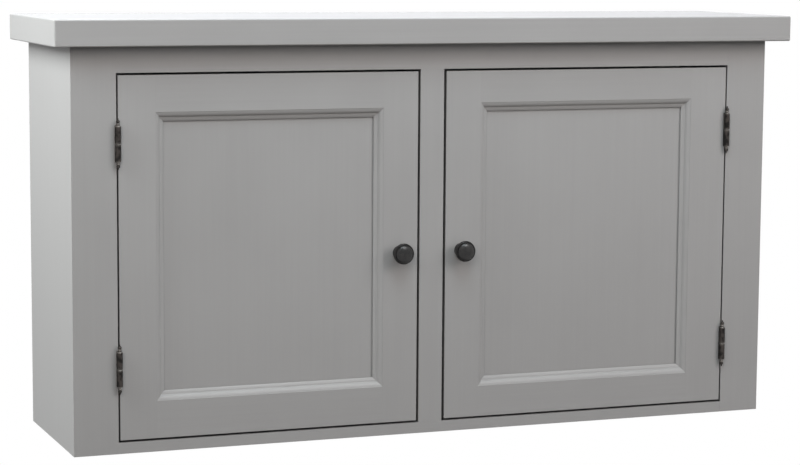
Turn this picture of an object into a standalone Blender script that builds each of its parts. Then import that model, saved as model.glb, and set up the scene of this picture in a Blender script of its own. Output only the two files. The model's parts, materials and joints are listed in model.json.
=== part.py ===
"""Kitchen wall cabinet with a thick top slab and two inset panelled doors on finial butt hinges.

Metres, +Z up, the doors face -Y. Pieces are placed from three planes: x = 0 down the middle,
y = 0 on the wall, and z = 0 at the underside of the carcass. A parent empty then lowers the
whole cabinet, so that the world origin is the middle of the upper hanging rail, on the wall.
"""

import math
from dataclasses import dataclass

import bmesh
import bpy
from mathutils import Matrix, Vector

# Fits
FIT = 0.0003
HINGE_SIDE_GAP = 0.0022
LOCK_SIDE_GAP = 0.0033
DOOR_TOP_GAP = 0.0029
DOOR_BOTTOM_GAP = 0.0027
OVERCUT = 0.002

# Carcass
CARCASS_WIDTH = 1.000
CARCASS_HEIGHT = 0.530
CARCASS_DEPTH = 0.251
SIDE_THICKNESS = 0.018
BOTTOM_THICKNESS = 0.015
TOP_THICKNESS = 0.018
HOUSING_DEPTH = 0.006
BACK_THICKNESS = 0.006
BACK_GROOVE_DEPTH = 0.005
HANGING_RAIL_THICKNESS = 0.018
UPPER_RAIL_HEIGHT = 0.070
LOWER_RAIL_HEIGHT = 0.050

# Top slab
SLAB_THICKNESS = 0.0346
SLAB_SIDE_OVERHANG = 0.0256
SLAB_FRONT_OVERHANG = 0.0264
SLAB_EDGE_EASE = 0.0018

# Shelf and the pegs that carry it
SHELF_THICKNESS = 0.018
SHELF_UNDERSIDE = 0.250
SHELF_SETBACK = 0.018
SHELF_END_CLEARANCE = 0.0006
PEG_RADIUS = 0.0025
PEG_REACH = 0.010
PEG_COLLAR_RADIUS = 0.0042
PEG_COLLAR_THICKNESS = 0.0015
PEG_HOLE_DEPTH = 0.009
PEG_HOLE_PITCH = 0.032
PEG_HOLES_EACH_WAY = 2
PEG_INSET = 0.035

# Face frame
FRAME_THICKNESS = 0.022
FRAME_STILE_WIDTH = 0.0594
MULLION_WIDTH = 0.0342
MULLION_OFFSET = -0.0058
TOP_RAIL_HEIGHT = 0.0343
BOTTOM_RAIL_HEIGHT = 0.015
TENON_THICKNESS = 0.008
TENON_SHOULDER = 0.004
RAIL_TENON_LENGTH = 0.020
MULLION_TENON_LENGTH = 0.008

# Doors, whose rails and stiles differ a little from one to the other
DOOR_THICKNESS = 0.022
LEFT_HINGE_STILE_WIDTH = 0.0494
LEFT_LOCK_STILE_WIDTH = 0.0490
LEFT_TOP_RAIL_HEIGHT = 0.0484
LEFT_BOTTOM_RAIL_HEIGHT = 0.0500
RIGHT_HINGE_STILE_WIDTH = 0.0542
RIGHT_LOCK_STILE_WIDTH = 0.0504
RIGHT_TOP_RAIL_HEIGHT = 0.0436
RIGHT_BOTTOM_RAIL_HEIGHT = 0.0426
PANEL_THICKNESS = 0.0064
PANEL_SETBACK = 0.0095
PANEL_GROOVE_DEPTH = 0.009
PANEL_FLOAT = 0.0008

# Panel moulding, mitred round each panel
MOULDING_WIDTH = 0.0115
MOULDING_SETBACK = 0.0005
MOULDING_BAND_WIDTH = 0.0051
MOULDING_BAND_FALL = 0.0023
MOULDING_BAND_CROWN = 0.0003
MOULDING_QUIRK_DEPTH = 0.0016
MOULDING_QUIRK_RUN = 0.0008
MOULDING_LIP_HEIGHT = 0.0006
MOULDING_REBATE_HEIGHT = 0.0014
MOULDING_REBATE_DEPTH = 0.0045

# Finial butt hinges
HINGE_HEIGHT = 0.047
UPPER_HINGE_INSET = 0.0878
LEFT_LOWER_HINGE_INSET = 0.0945
RIGHT_LOWER_HINGE_INSET = 0.0823
BARREL_RADIUS = 0.0039
BARREL_CLEARANCE = 0.0004
BARREL_EASE = 0.0006
KNUCKLE_GAP = 0.0003
KNUCKLE_CAP = 0.006
PIN_RADIUS = 0.0018
LEAF_THICKNESS = 0.002
LEAF_DEPTH = 0.016
FINIAL_NECK_RADIUS = 0.0017
FINIAL_NECK_HEIGHT = 0.0012
FINIAL_BEAD_RADIUS = 0.0027
FINIAL_BEAD_HEIGHT = 0.0022
FINIAL_BALL_RADIUS = 0.0025
FINIAL_TIP_RADIUS = 0.0008
FINIAL_TIP_HEIGHT = 0.0022

# Knobs and the bolts that hold them
KNOB_BASE_RADIUS = 0.0098
KNOB_BASE_HEIGHT = 0.0026
KNOB_NECK_RADIUS = 0.0062
KNOB_HEAD_START = 0.0105
KNOB_HEAD_RADIUS = 0.0143
KNOB_RIM_HEIGHT = 0.0155
KNOB_FACE_RADIUS = 0.0131
KNOB_FACE_HEIGHT = 0.0188
KNOB_RING_STEP = 0.0005
KNOB_DOME_RADIUS = 0.0122
KNOB_DOME_HEIGHT = 0.0054
KNOB_DROP = 0.006
LEFT_KNOB_INSET = 0.0254
RIGHT_KNOB_INSET = 0.0230
BOLT_RADIUS = 0.002
BOLT_HEAD_RADIUS = 0.0044
BOLT_HEAD_HEIGHT = 0.0026
BOLT_ENGAGEMENT = 0.010

# Magnetic catches and their strike plates
CATCH_DROP = 0.110
CATCH_HEIGHT = 0.042
CATCH_DEPTH = 0.013
CATCH_SPACING = 0.003
CATCH_REACH = 0.015
STRIKE_HEIGHT = 0.034
STRIKE_WIDTH = 0.012
STRIKE_THICKNESS = 0.0012

# Facets of round pieces
KNOB_FACETS = 28
BARREL_FACETS = 16
PEG_FACETS = 12
ARC_STEPS = 5
SHARP_EDGE = math.radians(35)
SEAM_MERGE = 0.0000003

# Planes and levels worked out from the sizes above
HALF_WIDTH = CARCASS_WIDTH / 2
SIDE_INNER = HALF_WIDTH - SIDE_THICKNESS
HOUSING_FLOOR = SIDE_INNER + HOUSING_DEPTH
FRONT_Y = -CARCASS_DEPTH
FRAME_BACK_Y = FRONT_Y + FRAME_THICKNESS
CARCASS_FRONT_Y = FRAME_BACK_Y + FIT
BOTTOM_TOP = BOTTOM_RAIL_HEIGHT
BOTTOM_UNDERSIDE = BOTTOM_TOP - BOTTOM_THICKNESS
TOP_UNDERSIDE = CARCASS_HEIGHT - TOP_THICKNESS
BACK_REAR_Y = -HANGING_RAIL_THICKNESS - FIT
BACK_FRONT_Y = BACK_REAR_Y - BACK_THICKNESS
UPPER_RAIL_TOP = TOP_UNDERSIDE - FIT
UPPER_RAIL_MIDDLE = UPPER_RAIL_TOP - UPPER_RAIL_HEIGHT / 2
SHELF_FRONT_Y = CARCASS_FRONT_Y + SHELF_SETBACK
SHELF_BACK_Y = BACK_FRONT_Y - FIT
PEG_LEVEL = SHELF_UNDERSIDE - FIT - PEG_RADIUS
FRAME_OPENING_OUTER = HALF_WIDTH - FRAME_STILE_WIDTH
FRAME_OPENING_TOP = CARCASS_HEIGHT - TOP_RAIL_HEIGHT
FRAME_MIDDLE_Y = FRONT_Y + FRAME_THICKNESS / 2
DOOR_OUTER = FRAME_OPENING_OUTER - HINGE_SIDE_GAP
DOOR_BOTTOM = BOTTOM_RAIL_HEIGHT + DOOR_BOTTOM_GAP
DOOR_TOP = FRAME_OPENING_TOP - DOOR_TOP_GAP
DOOR_BACK_Y = FRONT_Y + DOOR_THICKNESS
PANEL_FRONT_Y = FRONT_Y + PANEL_SETBACK
PANEL_BACK_Y = PANEL_FRONT_Y + PANEL_THICKNESS
HINGE_X = DOOR_OUTER + HINGE_SIDE_GAP / 2
HINGE_Y = FRONT_Y - BARREL_RADIUS - BARREL_CLEARANCE
BORE_RADIUS = PIN_RADIUS + FIT
BORE_DEPTH = HINGE_HEIGHT / 2 - KNUCKLE_CAP
KNOB_LEVEL = (DOOR_BOTTOM + DOOR_TOP) / 2 - KNOB_DROP
CATCH_LEVEL = DOOR_TOP - CATCH_DROP

LEFT = -1
RIGHT = 1
HANDS = {"left": LEFT, "right": RIGHT}
ALONG_X = Vector((1, 0, 0))
TO_FRONT = Vector((0, -1, 0))
TO_REAR = Vector((0, 1, 0))
UP = Vector((0, 0, 1))
DOWN = Vector((0, 0, -1))


@dataclass(frozen=True)
class DoorPlan:
    """Where one door lies: its x values are distances from the middle plane towards its hand."""

    word: str
    hand: int
    hinge_stile: float
    lock_stile: float
    top_rail: float
    bottom_rail: float
    lower_hinge_inset: float
    knob_inset: float

    @property
    def mullion_edge(self):
        """The edge of the mullion that this door closes beside."""
        return self.hand * MULLION_OFFSET + MULLION_WIDTH / 2

    @property
    def inner(self):
        """The lock edge."""
        return self.mullion_edge + LOCK_SIDE_GAP

    @property
    def opening_x(self):
        """The panel opening's lock-side and hinge-side edges."""
        return (self.inner + self.lock_stile, DOOR_OUTER - self.hinge_stile)

    @property
    def opening_z(self):
        """The panel opening's bottom and top edges."""
        return (DOOR_BOTTOM + self.bottom_rail, DOOR_TOP - self.top_rail)

    @property
    def knob_x(self):
        """The axis of the knob."""
        return self.inner + self.knob_inset

    @property
    def hinge_levels(self):
        """The level of each hinge's joint between its knuckles."""
        return {"lower": DOOR_BOTTOM + self.lower_hinge_inset, "upper": DOOR_TOP - UPPER_HINGE_INSET}


DOORS = {
    LEFT: DoorPlan("left", LEFT, LEFT_HINGE_STILE_WIDTH, LEFT_LOCK_STILE_WIDTH, LEFT_TOP_RAIL_HEIGHT,
                   LEFT_BOTTOM_RAIL_HEIGHT, LEFT_LOWER_HINGE_INSET, LEFT_KNOB_INSET),
    RIGHT: DoorPlan("right", RIGHT, RIGHT_HINGE_STILE_WIDTH, RIGHT_LOCK_STILE_WIDTH, RIGHT_TOP_RAIL_HEIGHT,
                    RIGHT_BOTTOM_RAIL_HEIGHT, RIGHT_LOWER_HINGE_INSET, RIGHT_KNOB_INSET),
}


# Finishes

def finish(name, colour, roughness, metallic):
    """A Principled material."""
    material = bpy.data.materials.new(name)
    material.use_nodes = True
    shader = material.node_tree.nodes["Principled BSDF"]
    shader.inputs["Base Color"].default_value = (*colour, 1)
    shader.inputs["Roughness"].default_value = roughness
    shader.inputs["Metallic"].default_value = metallic
    return material


# Shapes

def add_piece(name, bm, parent, material, location=(0, 0, 0)):
    """Turn a finished bmesh into a named object under its parent, placed in cabinet coordinates."""
    bmesh.ops.recalc_face_normals(bm, faces=bm.faces)
    mesh = bpy.data.meshes.new(name)
    bm.to_mesh(mesh)
    bm.free()
    if material:
        mesh.materials.append(material)
    piece = bpy.data.objects.new(name, mesh)
    bpy.context.scene.collection.objects.link(piece)
    piece.location = location
    piece.parent = parent
    if parent.parent:
        piece.matrix_parent_inverse = Matrix.Translation(-parent.location)
    return piece


def hide(piece):
    """Mark a piece as a cutter or a helper."""
    piece.hide_render = True
    piece.display_type = "WIRE"
    return piece


def sided(hand, low, high):
    """A span of distances from the middle plane, taken to one hand of the cabinet."""
    return (low, high) if hand == RIGHT else (-high, -low)


def around(middle, size):
    """The span of a size about its middle."""
    return (middle - size / 2, middle + size / 2)


def widened(span, by):
    """A span made longer at both ends."""
    return (span[0] - by, span[1] + by)


def board(name, spans, parent, material=None):
    """A squared board that fills an x, a y and a z span, with its origin in its middle."""
    middle = Vector([(low + high) / 2 for low, high in spans])
    size = [high - low for low, high in spans]
    bm = bmesh.new()
    bmesh.ops.create_cube(bm, size=1, matrix=Matrix.Diagonal((*size, 1)))
    return add_piece(name, bm, parent, material, middle)


def carve(piece, cutter, operation="DIFFERENCE"):
    """Cut a helper out of a piece, or join it on."""
    modifier = piece.modifiers.new(hide(cutter).name, "BOOLEAN")
    modifier.operation = operation
    modifier.solver = "EXACT"
    modifier.object = cutter


def recess(piece, label, *spans):
    """Cut a squared housing, groove or mortise out of a piece."""
    carve(piece, board(f"{piece.name}_{label}", spans, piece.parent))


def tenoned_bar(name, axis, body, across, depth, tenon, parent, material):
    """A rail or mullion with a tenon at each end.

    axis is 0 for a rail along x and 2 for a mullion along z. body is the span between the
    shoulders, across and depth are the spans of its section, and tenon gives the tenon's length
    and the two spans of its section.
    """
    length, tenon_across, tenon_depth = tenon
    stub = (tenon_across, tenon_depth)
    full = (across, depth)
    stations = [(body[0] - length, stub), (body[0], stub), (body[0], full)]
    stations += [(body[1], full), (body[1], stub), (body[1] + length, stub)]
    bm = bmesh.new()
    rings = []
    for place, (wide, deep) in stations:
        corners = [(wide[0], deep[0]), (wide[1], deep[0]), (wide[1], deep[1]), (wide[0], deep[1])]
        rings.append([bm.verts.new((place, y, w) if axis == 0 else (w, y, place)) for w, y in corners])
    for ring, following in zip(rings, rings[1:]):
        for i in range(4):
            bm.faces.new((ring[i - 1], ring[i], following[i], following[i - 1]))
    bm.faces.new(rings[0])
    bm.faces.new(rings[-1])
    return add_piece(name, bm, parent, material)


def extruded(name, outline, run, parent, material=None):
    """A closed outline of points, drawn out along a vector."""
    bm = bmesh.new()
    face = bm.faces.new([bm.verts.new(point) for point in outline])
    drawn = bmesh.ops.extrude_face_region(bm, geom=[face])
    moved = [item for item in drawn["geom"] if isinstance(item, bmesh.types.BMVert)]
    bmesh.ops.translate(bm, verts=moved, vec=run)
    return add_piece(name, bm, parent, material)


def turned(name, profile, facets, place, direction, parent, material=None):
    """A turned piece: (radius, height) points spun about an axis from a place, in a direction."""
    bm = bmesh.new()
    points = [bm.verts.new((radius, 0, height)) for radius, height in profile]
    edges = [bm.edges.new(pair) for pair in zip(points, points[1:])]
    bmesh.ops.spin(bm, geom=points + edges, axis=UP, cent=(0, 0, 0), angle=math.tau, steps=facets)
    bmesh.ops.remove_doubles(bm, verts=bm.verts, dist=SEAM_MERGE)
    piece = add_piece(name, bm, parent, material, place)
    piece.rotation_euler = direction.to_track_quat("Z", "Y").to_euler()
    piece.data.shade_smooth()
    piece.data.set_sharp_from_angle(angle=SHARP_EDGE)
    return piece


def arc(centre, radii, start, end, steps=ARC_STEPS):
    """Points of (radius, height) along an elliptic arc, its angles in degrees from the outward direction."""
    angles = [math.radians(start + (end - start) * i / steps) for i in range(steps + 1)]
    return [(centre[0] + radii[0] * math.cos(a), centre[1] + radii[1] * math.sin(a)) for a in angles]


def quarter(start, end, steps=ARC_STEPS):
    """A quarter ellipse that leaves start along the first axis and reaches end along the second."""
    angles = [math.pi / 2 * i / steps for i in range(steps + 1)]
    run = end[0] - start[0]
    fall = end[1] - start[1]
    return [(start[0] + run * math.sin(a), start[1] + fall * (1 - math.cos(a))) for a in angles]


def rod(radius, length):
    """The profile of a plain round rod."""
    return [(0, 0), (radius, 0), (radius, length), (0, length)]


# Carcass

def add_carcass(parent, paint, pine):
    """The side panels, bottom, top, back and hanging rails."""
    depth = (CARCASS_FRONT_Y, 0)
    groove_y = widened((BACK_FRONT_Y, BACK_REAR_Y), FIT)
    bottom_z = (BOTTOM_UNDERSIDE, BOTTOM_TOP)
    top_z = (TOP_UNDERSIDE, CARCASS_HEIGHT)
    for word, hand in HANDS.items():
        side = board(f"{word}_side_panel", (sided(hand, SIDE_INNER, HALF_WIDTH), depth, (0, CARCASS_HEIGHT)),
                     parent, paint)
        housing_x = sided(hand, SIDE_INNER - OVERCUT, HOUSING_FLOOR)
        groove_x = sided(hand, SIDE_INNER - OVERCUT, SIDE_INNER + BACK_GROOVE_DEPTH)
        recess(side, "bottom_housing", housing_x, widened(depth, OVERCUT), widened(bottom_z, FIT))
        recess(side, "top_housing", housing_x, widened(depth, OVERCUT),
               (TOP_UNDERSIDE - FIT, CARCASS_HEIGHT + OVERCUT))
        recess(side, "back_groove", groove_x, groove_y, widened((BOTTOM_TOP, TOP_UNDERSIDE), OVERCUT))
        bore_peg_holes(side, hand)

    length = (FIT - HOUSING_FLOOR, HOUSING_FLOOR - FIT)
    bottom = board("bottom_board", (length, depth, bottom_z), parent, paint)
    recess(bottom, "back_groove", widened(length, OVERCUT), groove_y,
           (BOTTOM_TOP - BACK_GROOVE_DEPTH, BOTTOM_TOP + OVERCUT))
    top = board("top_board", (length, depth, top_z), parent, paint)
    recess(top, "back_groove", widened(length, OVERCUT), groove_y,
           (TOP_UNDERSIDE - OVERCUT, TOP_UNDERSIDE + BACK_GROOVE_DEPTH))

    into_groove = BACK_GROOVE_DEPTH - FIT
    back_x = SIDE_INNER + into_groove
    back_z = widened((BOTTOM_TOP, TOP_UNDERSIDE), into_groove)
    board("back_panel", ((-back_x, back_x), (BACK_FRONT_Y, BACK_REAR_Y), back_z), parent, paint)

    between_sides = (FIT - SIDE_INNER, SIDE_INNER - FIT)
    rail_y = (-HANGING_RAIL_THICKNESS, 0)
    lower_top = BOTTOM_TOP + FIT + LOWER_RAIL_HEIGHT
    board("upper_hanging_rail", (between_sides, rail_y, (UPPER_RAIL_TOP - UPPER_RAIL_HEIGHT, UPPER_RAIL_TOP)),
          parent, pine)
    board("lower_hanging_rail", (between_sides, rail_y, (BOTTOM_TOP + FIT, lower_top)), parent, pine)


def peg_rows():
    """The depths of the front and rear rows of peg holes."""
    return {"front": SHELF_FRONT_Y + PEG_INSET, "rear": SHELF_BACK_Y - PEG_INSET}


def bore_peg_holes(side, hand):
    """Two upright rows of blind holes for the shelf pegs, as one cutter."""
    bm = bmesh.new()
    drill = PEG_HOLE_DEPTH + OVERCUT
    along_x = Matrix.Rotation(math.pi / 2, 4, "Y")
    middle_x = hand * (SIDE_INNER + (PEG_HOLE_DEPTH - OVERCUT) / 2)
    for y in peg_rows().values():
        for step in range(-PEG_HOLES_EACH_WAY, PEG_HOLES_EACH_WAY + 1):
            place = Matrix.Translation((middle_x, y, PEG_LEVEL + step * PEG_HOLE_PITCH))
            bmesh.ops.create_cone(bm, cap_ends=True, segments=PEG_FACETS, radius1=PEG_RADIUS + FIT,
                                  radius2=PEG_RADIUS + FIT, depth=drill, matrix=place @ along_x)
    carve(side, add_piece(f"{side.name}_peg_holes", bm, side.parent, None))


def add_slab(parent, paint):
    """The thick top, flush at the wall, with its edges eased."""
    reach = HALF_WIDTH + SLAB_SIDE_OVERHANG
    underside = CARCASS_HEIGHT + FIT
    slab = board("top_slab", ((-reach, reach), (FRONT_Y - SLAB_FRONT_OVERHANG, 0),
                              (underside, underside + SLAB_THICKNESS)), parent, paint)
    ease = slab.modifiers.new("eased edges", "BEVEL")
    ease.width = SLAB_EDGE_EASE
    ease.segments = 2


def add_shelf(parent, paint, steel):
    """The loose shelf and the four collared pegs under it."""
    collar_room = FIT + PEG_COLLAR_THICKNESS
    reach = SIDE_INNER - collar_room - SHELF_END_CLEARANCE
    board("shelf", ((-reach, reach), (SHELF_FRONT_Y, SHELF_BACK_Y),
                    (SHELF_UNDERSIDE, SHELF_UNDERSIDE + SHELF_THICKNESS)), parent, paint)
    shank = PEG_HOLE_DEPTH - FIT
    collar_start = shank + FIT
    collar_end = collar_start + PEG_COLLAR_THICKNESS
    tip = collar_end + PEG_REACH
    profile = [(0, 0), (PEG_RADIUS, 0), (PEG_RADIUS, collar_start), (PEG_COLLAR_RADIUS, collar_start)]
    profile += [(PEG_COLLAR_RADIUS, collar_end), (PEG_RADIUS, collar_end), (PEG_RADIUS, tip), (0, tip)]
    for word, hand in HANDS.items():
        for row, y in peg_rows().items():
            place = (hand * (SIDE_INNER + shank), y, PEG_LEVEL)
            turned(f"shelf_peg_{word}_{row}", profile, PEG_FACETS, place, -hand * ALONG_X, parent, steel)


# Face frame

def add_face_frame(parent, paint):
    """Two stiles, two rails and the mullion, joined by mortise and tenon."""
    depth = (FRONT_Y, FRAME_BACK_Y)
    tenon_y = around(FRAME_MIDDLE_Y, TENON_THICKNESS)
    top_z = (FRAME_OPENING_TOP, CARCASS_HEIGHT)
    bottom_z = (0, BOTTOM_RAIL_HEIGHT)
    tenon_top_z = widened(top_z, -TENON_SHOULDER)
    tenon_bottom_z = widened(bottom_z, -TENON_SHOULDER)

    for word, hand in HANDS.items():
        stile = board(f"{word}_frame_stile", (sided(hand, FRAME_OPENING_OUTER, HALF_WIDTH), depth,
                                              (0, CARCASS_HEIGHT)), parent, paint)
        mortise_x = sided(hand, FRAME_OPENING_OUTER - OVERCUT, FRAME_OPENING_OUTER + RAIL_TENON_LENGTH + FIT)
        for label, z in (("top_mortise", tenon_top_z), ("bottom_mortise", tenon_bottom_z)):
            recess(stile, label, mortise_x, widened(tenon_y, FIT), widened(z, FIT))
        cut_hinge_mortises(stile, DOORS[hand], sided(hand, FRAME_OPENING_OUTER - OVERCUT,
                                                     FRAME_OPENING_OUTER + LEAF_THICKNESS + FIT))

    rail_x = (FIT - FRAME_OPENING_OUTER, FRAME_OPENING_OUTER - FIT)
    mullion_x = around(MULLION_OFFSET, MULLION_WIDTH)
    mullion_tenon_x = widened(mullion_x, -TENON_SHOULDER)
    mortise = (widened(mullion_tenon_x, FIT), widened(tenon_y, FIT))
    top_rail = tenoned_bar("frame_top_rail", 0, rail_x, top_z, depth,
                           (RAIL_TENON_LENGTH, tenon_top_z, tenon_y), parent, paint)
    recess(top_rail, "mullion_mortise", *mortise,
           (FRAME_OPENING_TOP - OVERCUT, FRAME_OPENING_TOP + MULLION_TENON_LENGTH + FIT))
    bottom_rail = tenoned_bar("frame_bottom_rail", 0, rail_x, bottom_z, depth,
                              (RAIL_TENON_LENGTH, tenon_bottom_z, tenon_y), parent, paint)
    recess(bottom_rail, "mullion_mortise", *mortise,
           (BOTTOM_RAIL_HEIGHT - MULLION_TENON_LENGTH - FIT, BOTTOM_RAIL_HEIGHT + OVERCUT))
    tenoned_bar("frame_mullion", 2, (BOTTOM_RAIL_HEIGHT + FIT, FRAME_OPENING_TOP - FIT), mullion_x, depth,
                (MULLION_TENON_LENGTH, mullion_tenon_x, tenon_y), parent, paint)


def cut_hinge_mortises(stile, plan, x):
    """Let both hinge leaves of one door into the edge of a stile, open at the front."""
    for word, level in plan.hinge_levels.items():
        recess(stile, f"{word}_hinge_mortise", x, (FRONT_Y - OVERCUT, FRONT_Y + LEAF_DEPTH + FIT),
               widened(around(level, HINGE_HEIGHT), FIT))


# Doors

def add_door(plan, door, paint):
    """Stiles grooved all the way down, stub-tenoned rails, and a loose panel in the grooves."""
    word, hand = plan.word, plan.hand
    opening_inner, opening_outer = plan.opening_x
    opening_bottom, opening_top = plan.opening_z
    depth = (FRONT_Y, DOOR_BACK_Y)
    height = (DOOR_BOTTOM, DOOR_TOP)
    panel_y = (PANEL_FRONT_Y, PANEL_BACK_Y)
    groove_y = widened(panel_y, FIT)
    groove_inner = opening_inner - PANEL_GROOVE_DEPTH
    groove_outer = opening_outer + PANEL_GROOVE_DEPTH

    hinge_stile = board(f"{word}_door_hinge_stile",
                        (sided(hand, opening_outer, DOOR_OUTER), depth, height), door, paint)
    recess(hinge_stile, "panel_groove", sided(hand, opening_outer - OVERCUT, groove_outer), groove_y,
           widened(height, OVERCUT))
    cut_hinge_mortises(hinge_stile, plan,
                       sided(hand, DOOR_OUTER - LEAF_THICKNESS - FIT, DOOR_OUTER + OVERCUT))

    lock_stile = board(f"{word}_door_lock_stile",
                       (sided(hand, plan.inner, opening_inner), depth, height), door, paint)
    recess(lock_stile, "panel_groove", sided(hand, groove_inner, opening_inner + OVERCUT), groove_y,
           widened(height, OVERCUT))
    bore = turned(f"{word}_knob_bolt_bore", rod(BOLT_RADIUS + FIT, DOOR_THICKNESS + 2 * OVERCUT), PEG_FACETS,
                  (hand * plan.knob_x, DOOR_BACK_Y + OVERCUT, KNOB_LEVEL), TO_FRONT, door)
    carve(lock_stile, bore)

    rail_x = sided(hand, opening_inner + FIT, opening_outer - FIT)
    stub = PANEL_GROOVE_DEPTH - FIT
    bottom_rail = tenoned_bar(
        f"{word}_door_bottom_rail", 0, rail_x, (DOOR_BOTTOM, opening_bottom), depth,
        (stub, (DOOR_BOTTOM + FIT, opening_bottom - PANEL_GROOVE_DEPTH - FIT), panel_y), door, paint)
    recess(bottom_rail, "panel_groove", widened(rail_x, OVERCUT), groove_y,
           (opening_bottom - PANEL_GROOVE_DEPTH, opening_bottom + OVERCUT))
    top_rail = tenoned_bar(
        f"{word}_door_top_rail", 0, rail_x, (opening_top, DOOR_TOP), depth,
        (stub, (opening_top + PANEL_GROOVE_DEPTH + FIT, DOOR_TOP - FIT), panel_y), door, paint)
    recess(top_rail, "panel_groove", widened(rail_x, OVERCUT), groove_y,
           (opening_top - OVERCUT, opening_top + PANEL_GROOVE_DEPTH))

    board(f"{word}_door_panel", (sided(hand, groove_inner + PANEL_FLOAT, groove_outer - PANEL_FLOAT), panel_y,
                                 widened(plan.opening_z, PANEL_GROOVE_DEPTH - PANEL_FLOAT)), door, paint)


def crowned(start, end):
    """A nearly straight slope of points from start to end, bowed out a little in its middle."""
    points = []
    for i in range(ARC_STEPS + 1):
        share = i / ARC_STEPS
        bow = 4 * MOULDING_BAND_CROWN * share * (1 - share)
        points.append((start[0] + (end[0] - start[0]) * share,
                       start[1] + (end[1] - start[1]) * share - bow))
    return points


def moulding_outline():
    """The moulding's section, as (distance in from the stile, depth behind the door face) points.

    A rebate along its back edge keeps the lip clear of the panel.
    """
    back = PANEL_SETBACK - FIT
    rebate = (MOULDING_WIDTH - MOULDING_REBATE_DEPTH, back - MOULDING_REBATE_HEIGHT)
    band_end = (MOULDING_BAND_WIDTH, MOULDING_SETBACK + MOULDING_BAND_FALL)
    quirk = (band_end[0] + MOULDING_QUIRK_RUN, band_end[1] + MOULDING_QUIRK_DEPTH)
    lip = (MOULDING_WIDTH, rebate[1] - MOULDING_LIP_HEIGHT)
    outline = [(0, back)] + crowned((0, MOULDING_SETBACK), band_end) + crowned(quirk, lip)
    return outline + [(MOULDING_WIDTH, rebate[1]), rebate, (rebate[0], back)]


def add_mouldings(plan, door, paint):
    """Four mitred lengths of moulding round the panel."""
    low_x, high_x = widened(sided(plan.hand, *plan.opening_x), -FIT)
    low_z, high_z = widened(plan.opening_z, -FIT)
    width = high_x - low_x
    height = high_z - low_z
    sides = {LEFT: ("hinge_side", "lock_side"), RIGHT: ("lock_side", "hinge_side")}
    west, east = sides[plan.hand]
    mitred_strip(f"{plan.word}_door_bottom_moulding", (low_x, low_z), ALONG_X, UP, width, door, paint)
    mitred_strip(f"{plan.word}_door_top_moulding", (low_x, high_z), ALONG_X, DOWN, width, door, paint)
    mitred_strip(f"{plan.word}_door_{west}_moulding", (low_x, low_z), UP, ALONG_X, height, door, paint)
    mitred_strip(f"{plan.word}_door_{east}_moulding", (high_x, low_z), UP, -ALONG_X, height, door, paint)


def mitred_strip(name, corner, along, inward, length, parent, material):
    """One moulding from a corner of the panel opening, with both its ends mitred to 45 degrees."""
    start = Vector((corner[0], FRONT_Y, corner[1]))
    bm = bmesh.new()
    ends = [[], []]
    for across, deep in moulding_outline():
        line = start + inward * across + TO_REAR * deep
        mitre = across + FIT
        ends[0].append(bm.verts.new(line + along * mitre))
        ends[1].append(bm.verts.new(line + along * (length - mitre)))
    for i in range(len(ends[0])):
        bm.faces.new((ends[0][i - 1], ends[0][i], ends[1][i], ends[1][i - 1]))
    bm.faces.new(ends[0])
    bm.faces.new(ends[1])
    return add_piece(name, bm, parent, material)


# Hinges

def knuckle_profile():
    """One knuckle with its blind bore and its finial, from the joint between the knuckles outwards."""
    end = HINGE_HEIGHT / 2
    joint = KNUCKLE_GAP / 2
    bead_start = end + FINIAL_NECK_HEIGHT
    bead = arc((FINIAL_NECK_RADIUS, bead_start + FINIAL_BEAD_HEIGHT / 2),
               (FINIAL_BEAD_RADIUS - FINIAL_NECK_RADIUS, FINIAL_BEAD_HEIGHT / 2), -90, 90)
    low = -math.degrees(math.acos(FINIAL_NECK_RADIUS / FINIAL_BALL_RADIUS))
    high = math.degrees(math.acos(FINIAL_TIP_RADIUS / FINIAL_BALL_RADIUS))
    ball_middle = bead[-1][1] - FINIAL_BALL_RADIUS * math.sin(math.radians(low))
    ball = arc((0, ball_middle), (FINIAL_BALL_RADIUS, FINIAL_BALL_RADIUS), low, high)
    tip = ball[-1][1] + FINIAL_TIP_HEIGHT
    profile = [(0, BORE_DEPTH), (BORE_RADIUS, BORE_DEPTH), (BORE_RADIUS, joint), (BARREL_RADIUS, joint)]
    profile += [(BARREL_RADIUS, end - BARREL_EASE), (BARREL_RADIUS - BARREL_EASE, end)]
    profile += [(FINIAL_NECK_RADIUS, end)]
    return profile + bead + ball[1:] + [(FINIAL_TIP_RADIUS, tip), (0, tip)]


def leaf(name, hand, level, to_frame, parent, iron):
    """A hinge leaf with its knuckle: the frame's is the lower knuckle, the door's the upper."""
    from_joint = DOWN if to_frame else UP
    across = LEAF_THICKNESS if to_frame else -LEAF_THICKNESS
    edge = HINGE_X + (HINGE_SIDE_GAP / 2 if to_frame else -HINGE_SIDE_GAP / 2)
    wrap_radius = BORE_RADIUS + (BARREL_RADIUS - BORE_RADIUS) / 3
    wrap_y = HINGE_Y + math.sqrt(wrap_radius ** 2 - (HINGE_SIDE_GAP / 2) ** 2)
    clear_y = FRONT_Y + FIT
    rear_y = FRONT_Y + LEAF_DEPTH
    reach = HINGE_HEIGHT / 2 - FIT
    sign = from_joint.z
    outline = [(wrap_y, FIT), (wrap_y, reach), (rear_y, reach)]
    outline += [(rear_y, -reach), (clear_y, -reach), (clear_y, FIT)]
    points = [(hand * edge, y, level + sign * z) for y, z in outline]
    plate = extruded(name, points, Vector((hand * across, 0, 0)), parent, iron)
    knuckle = turned(f"{name}_knuckle", knuckle_profile(), BARREL_FACETS, (hand * HINGE_X, HINGE_Y, level),
                     from_joint, parent)
    carve(plate, knuckle, "UNION")


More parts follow.
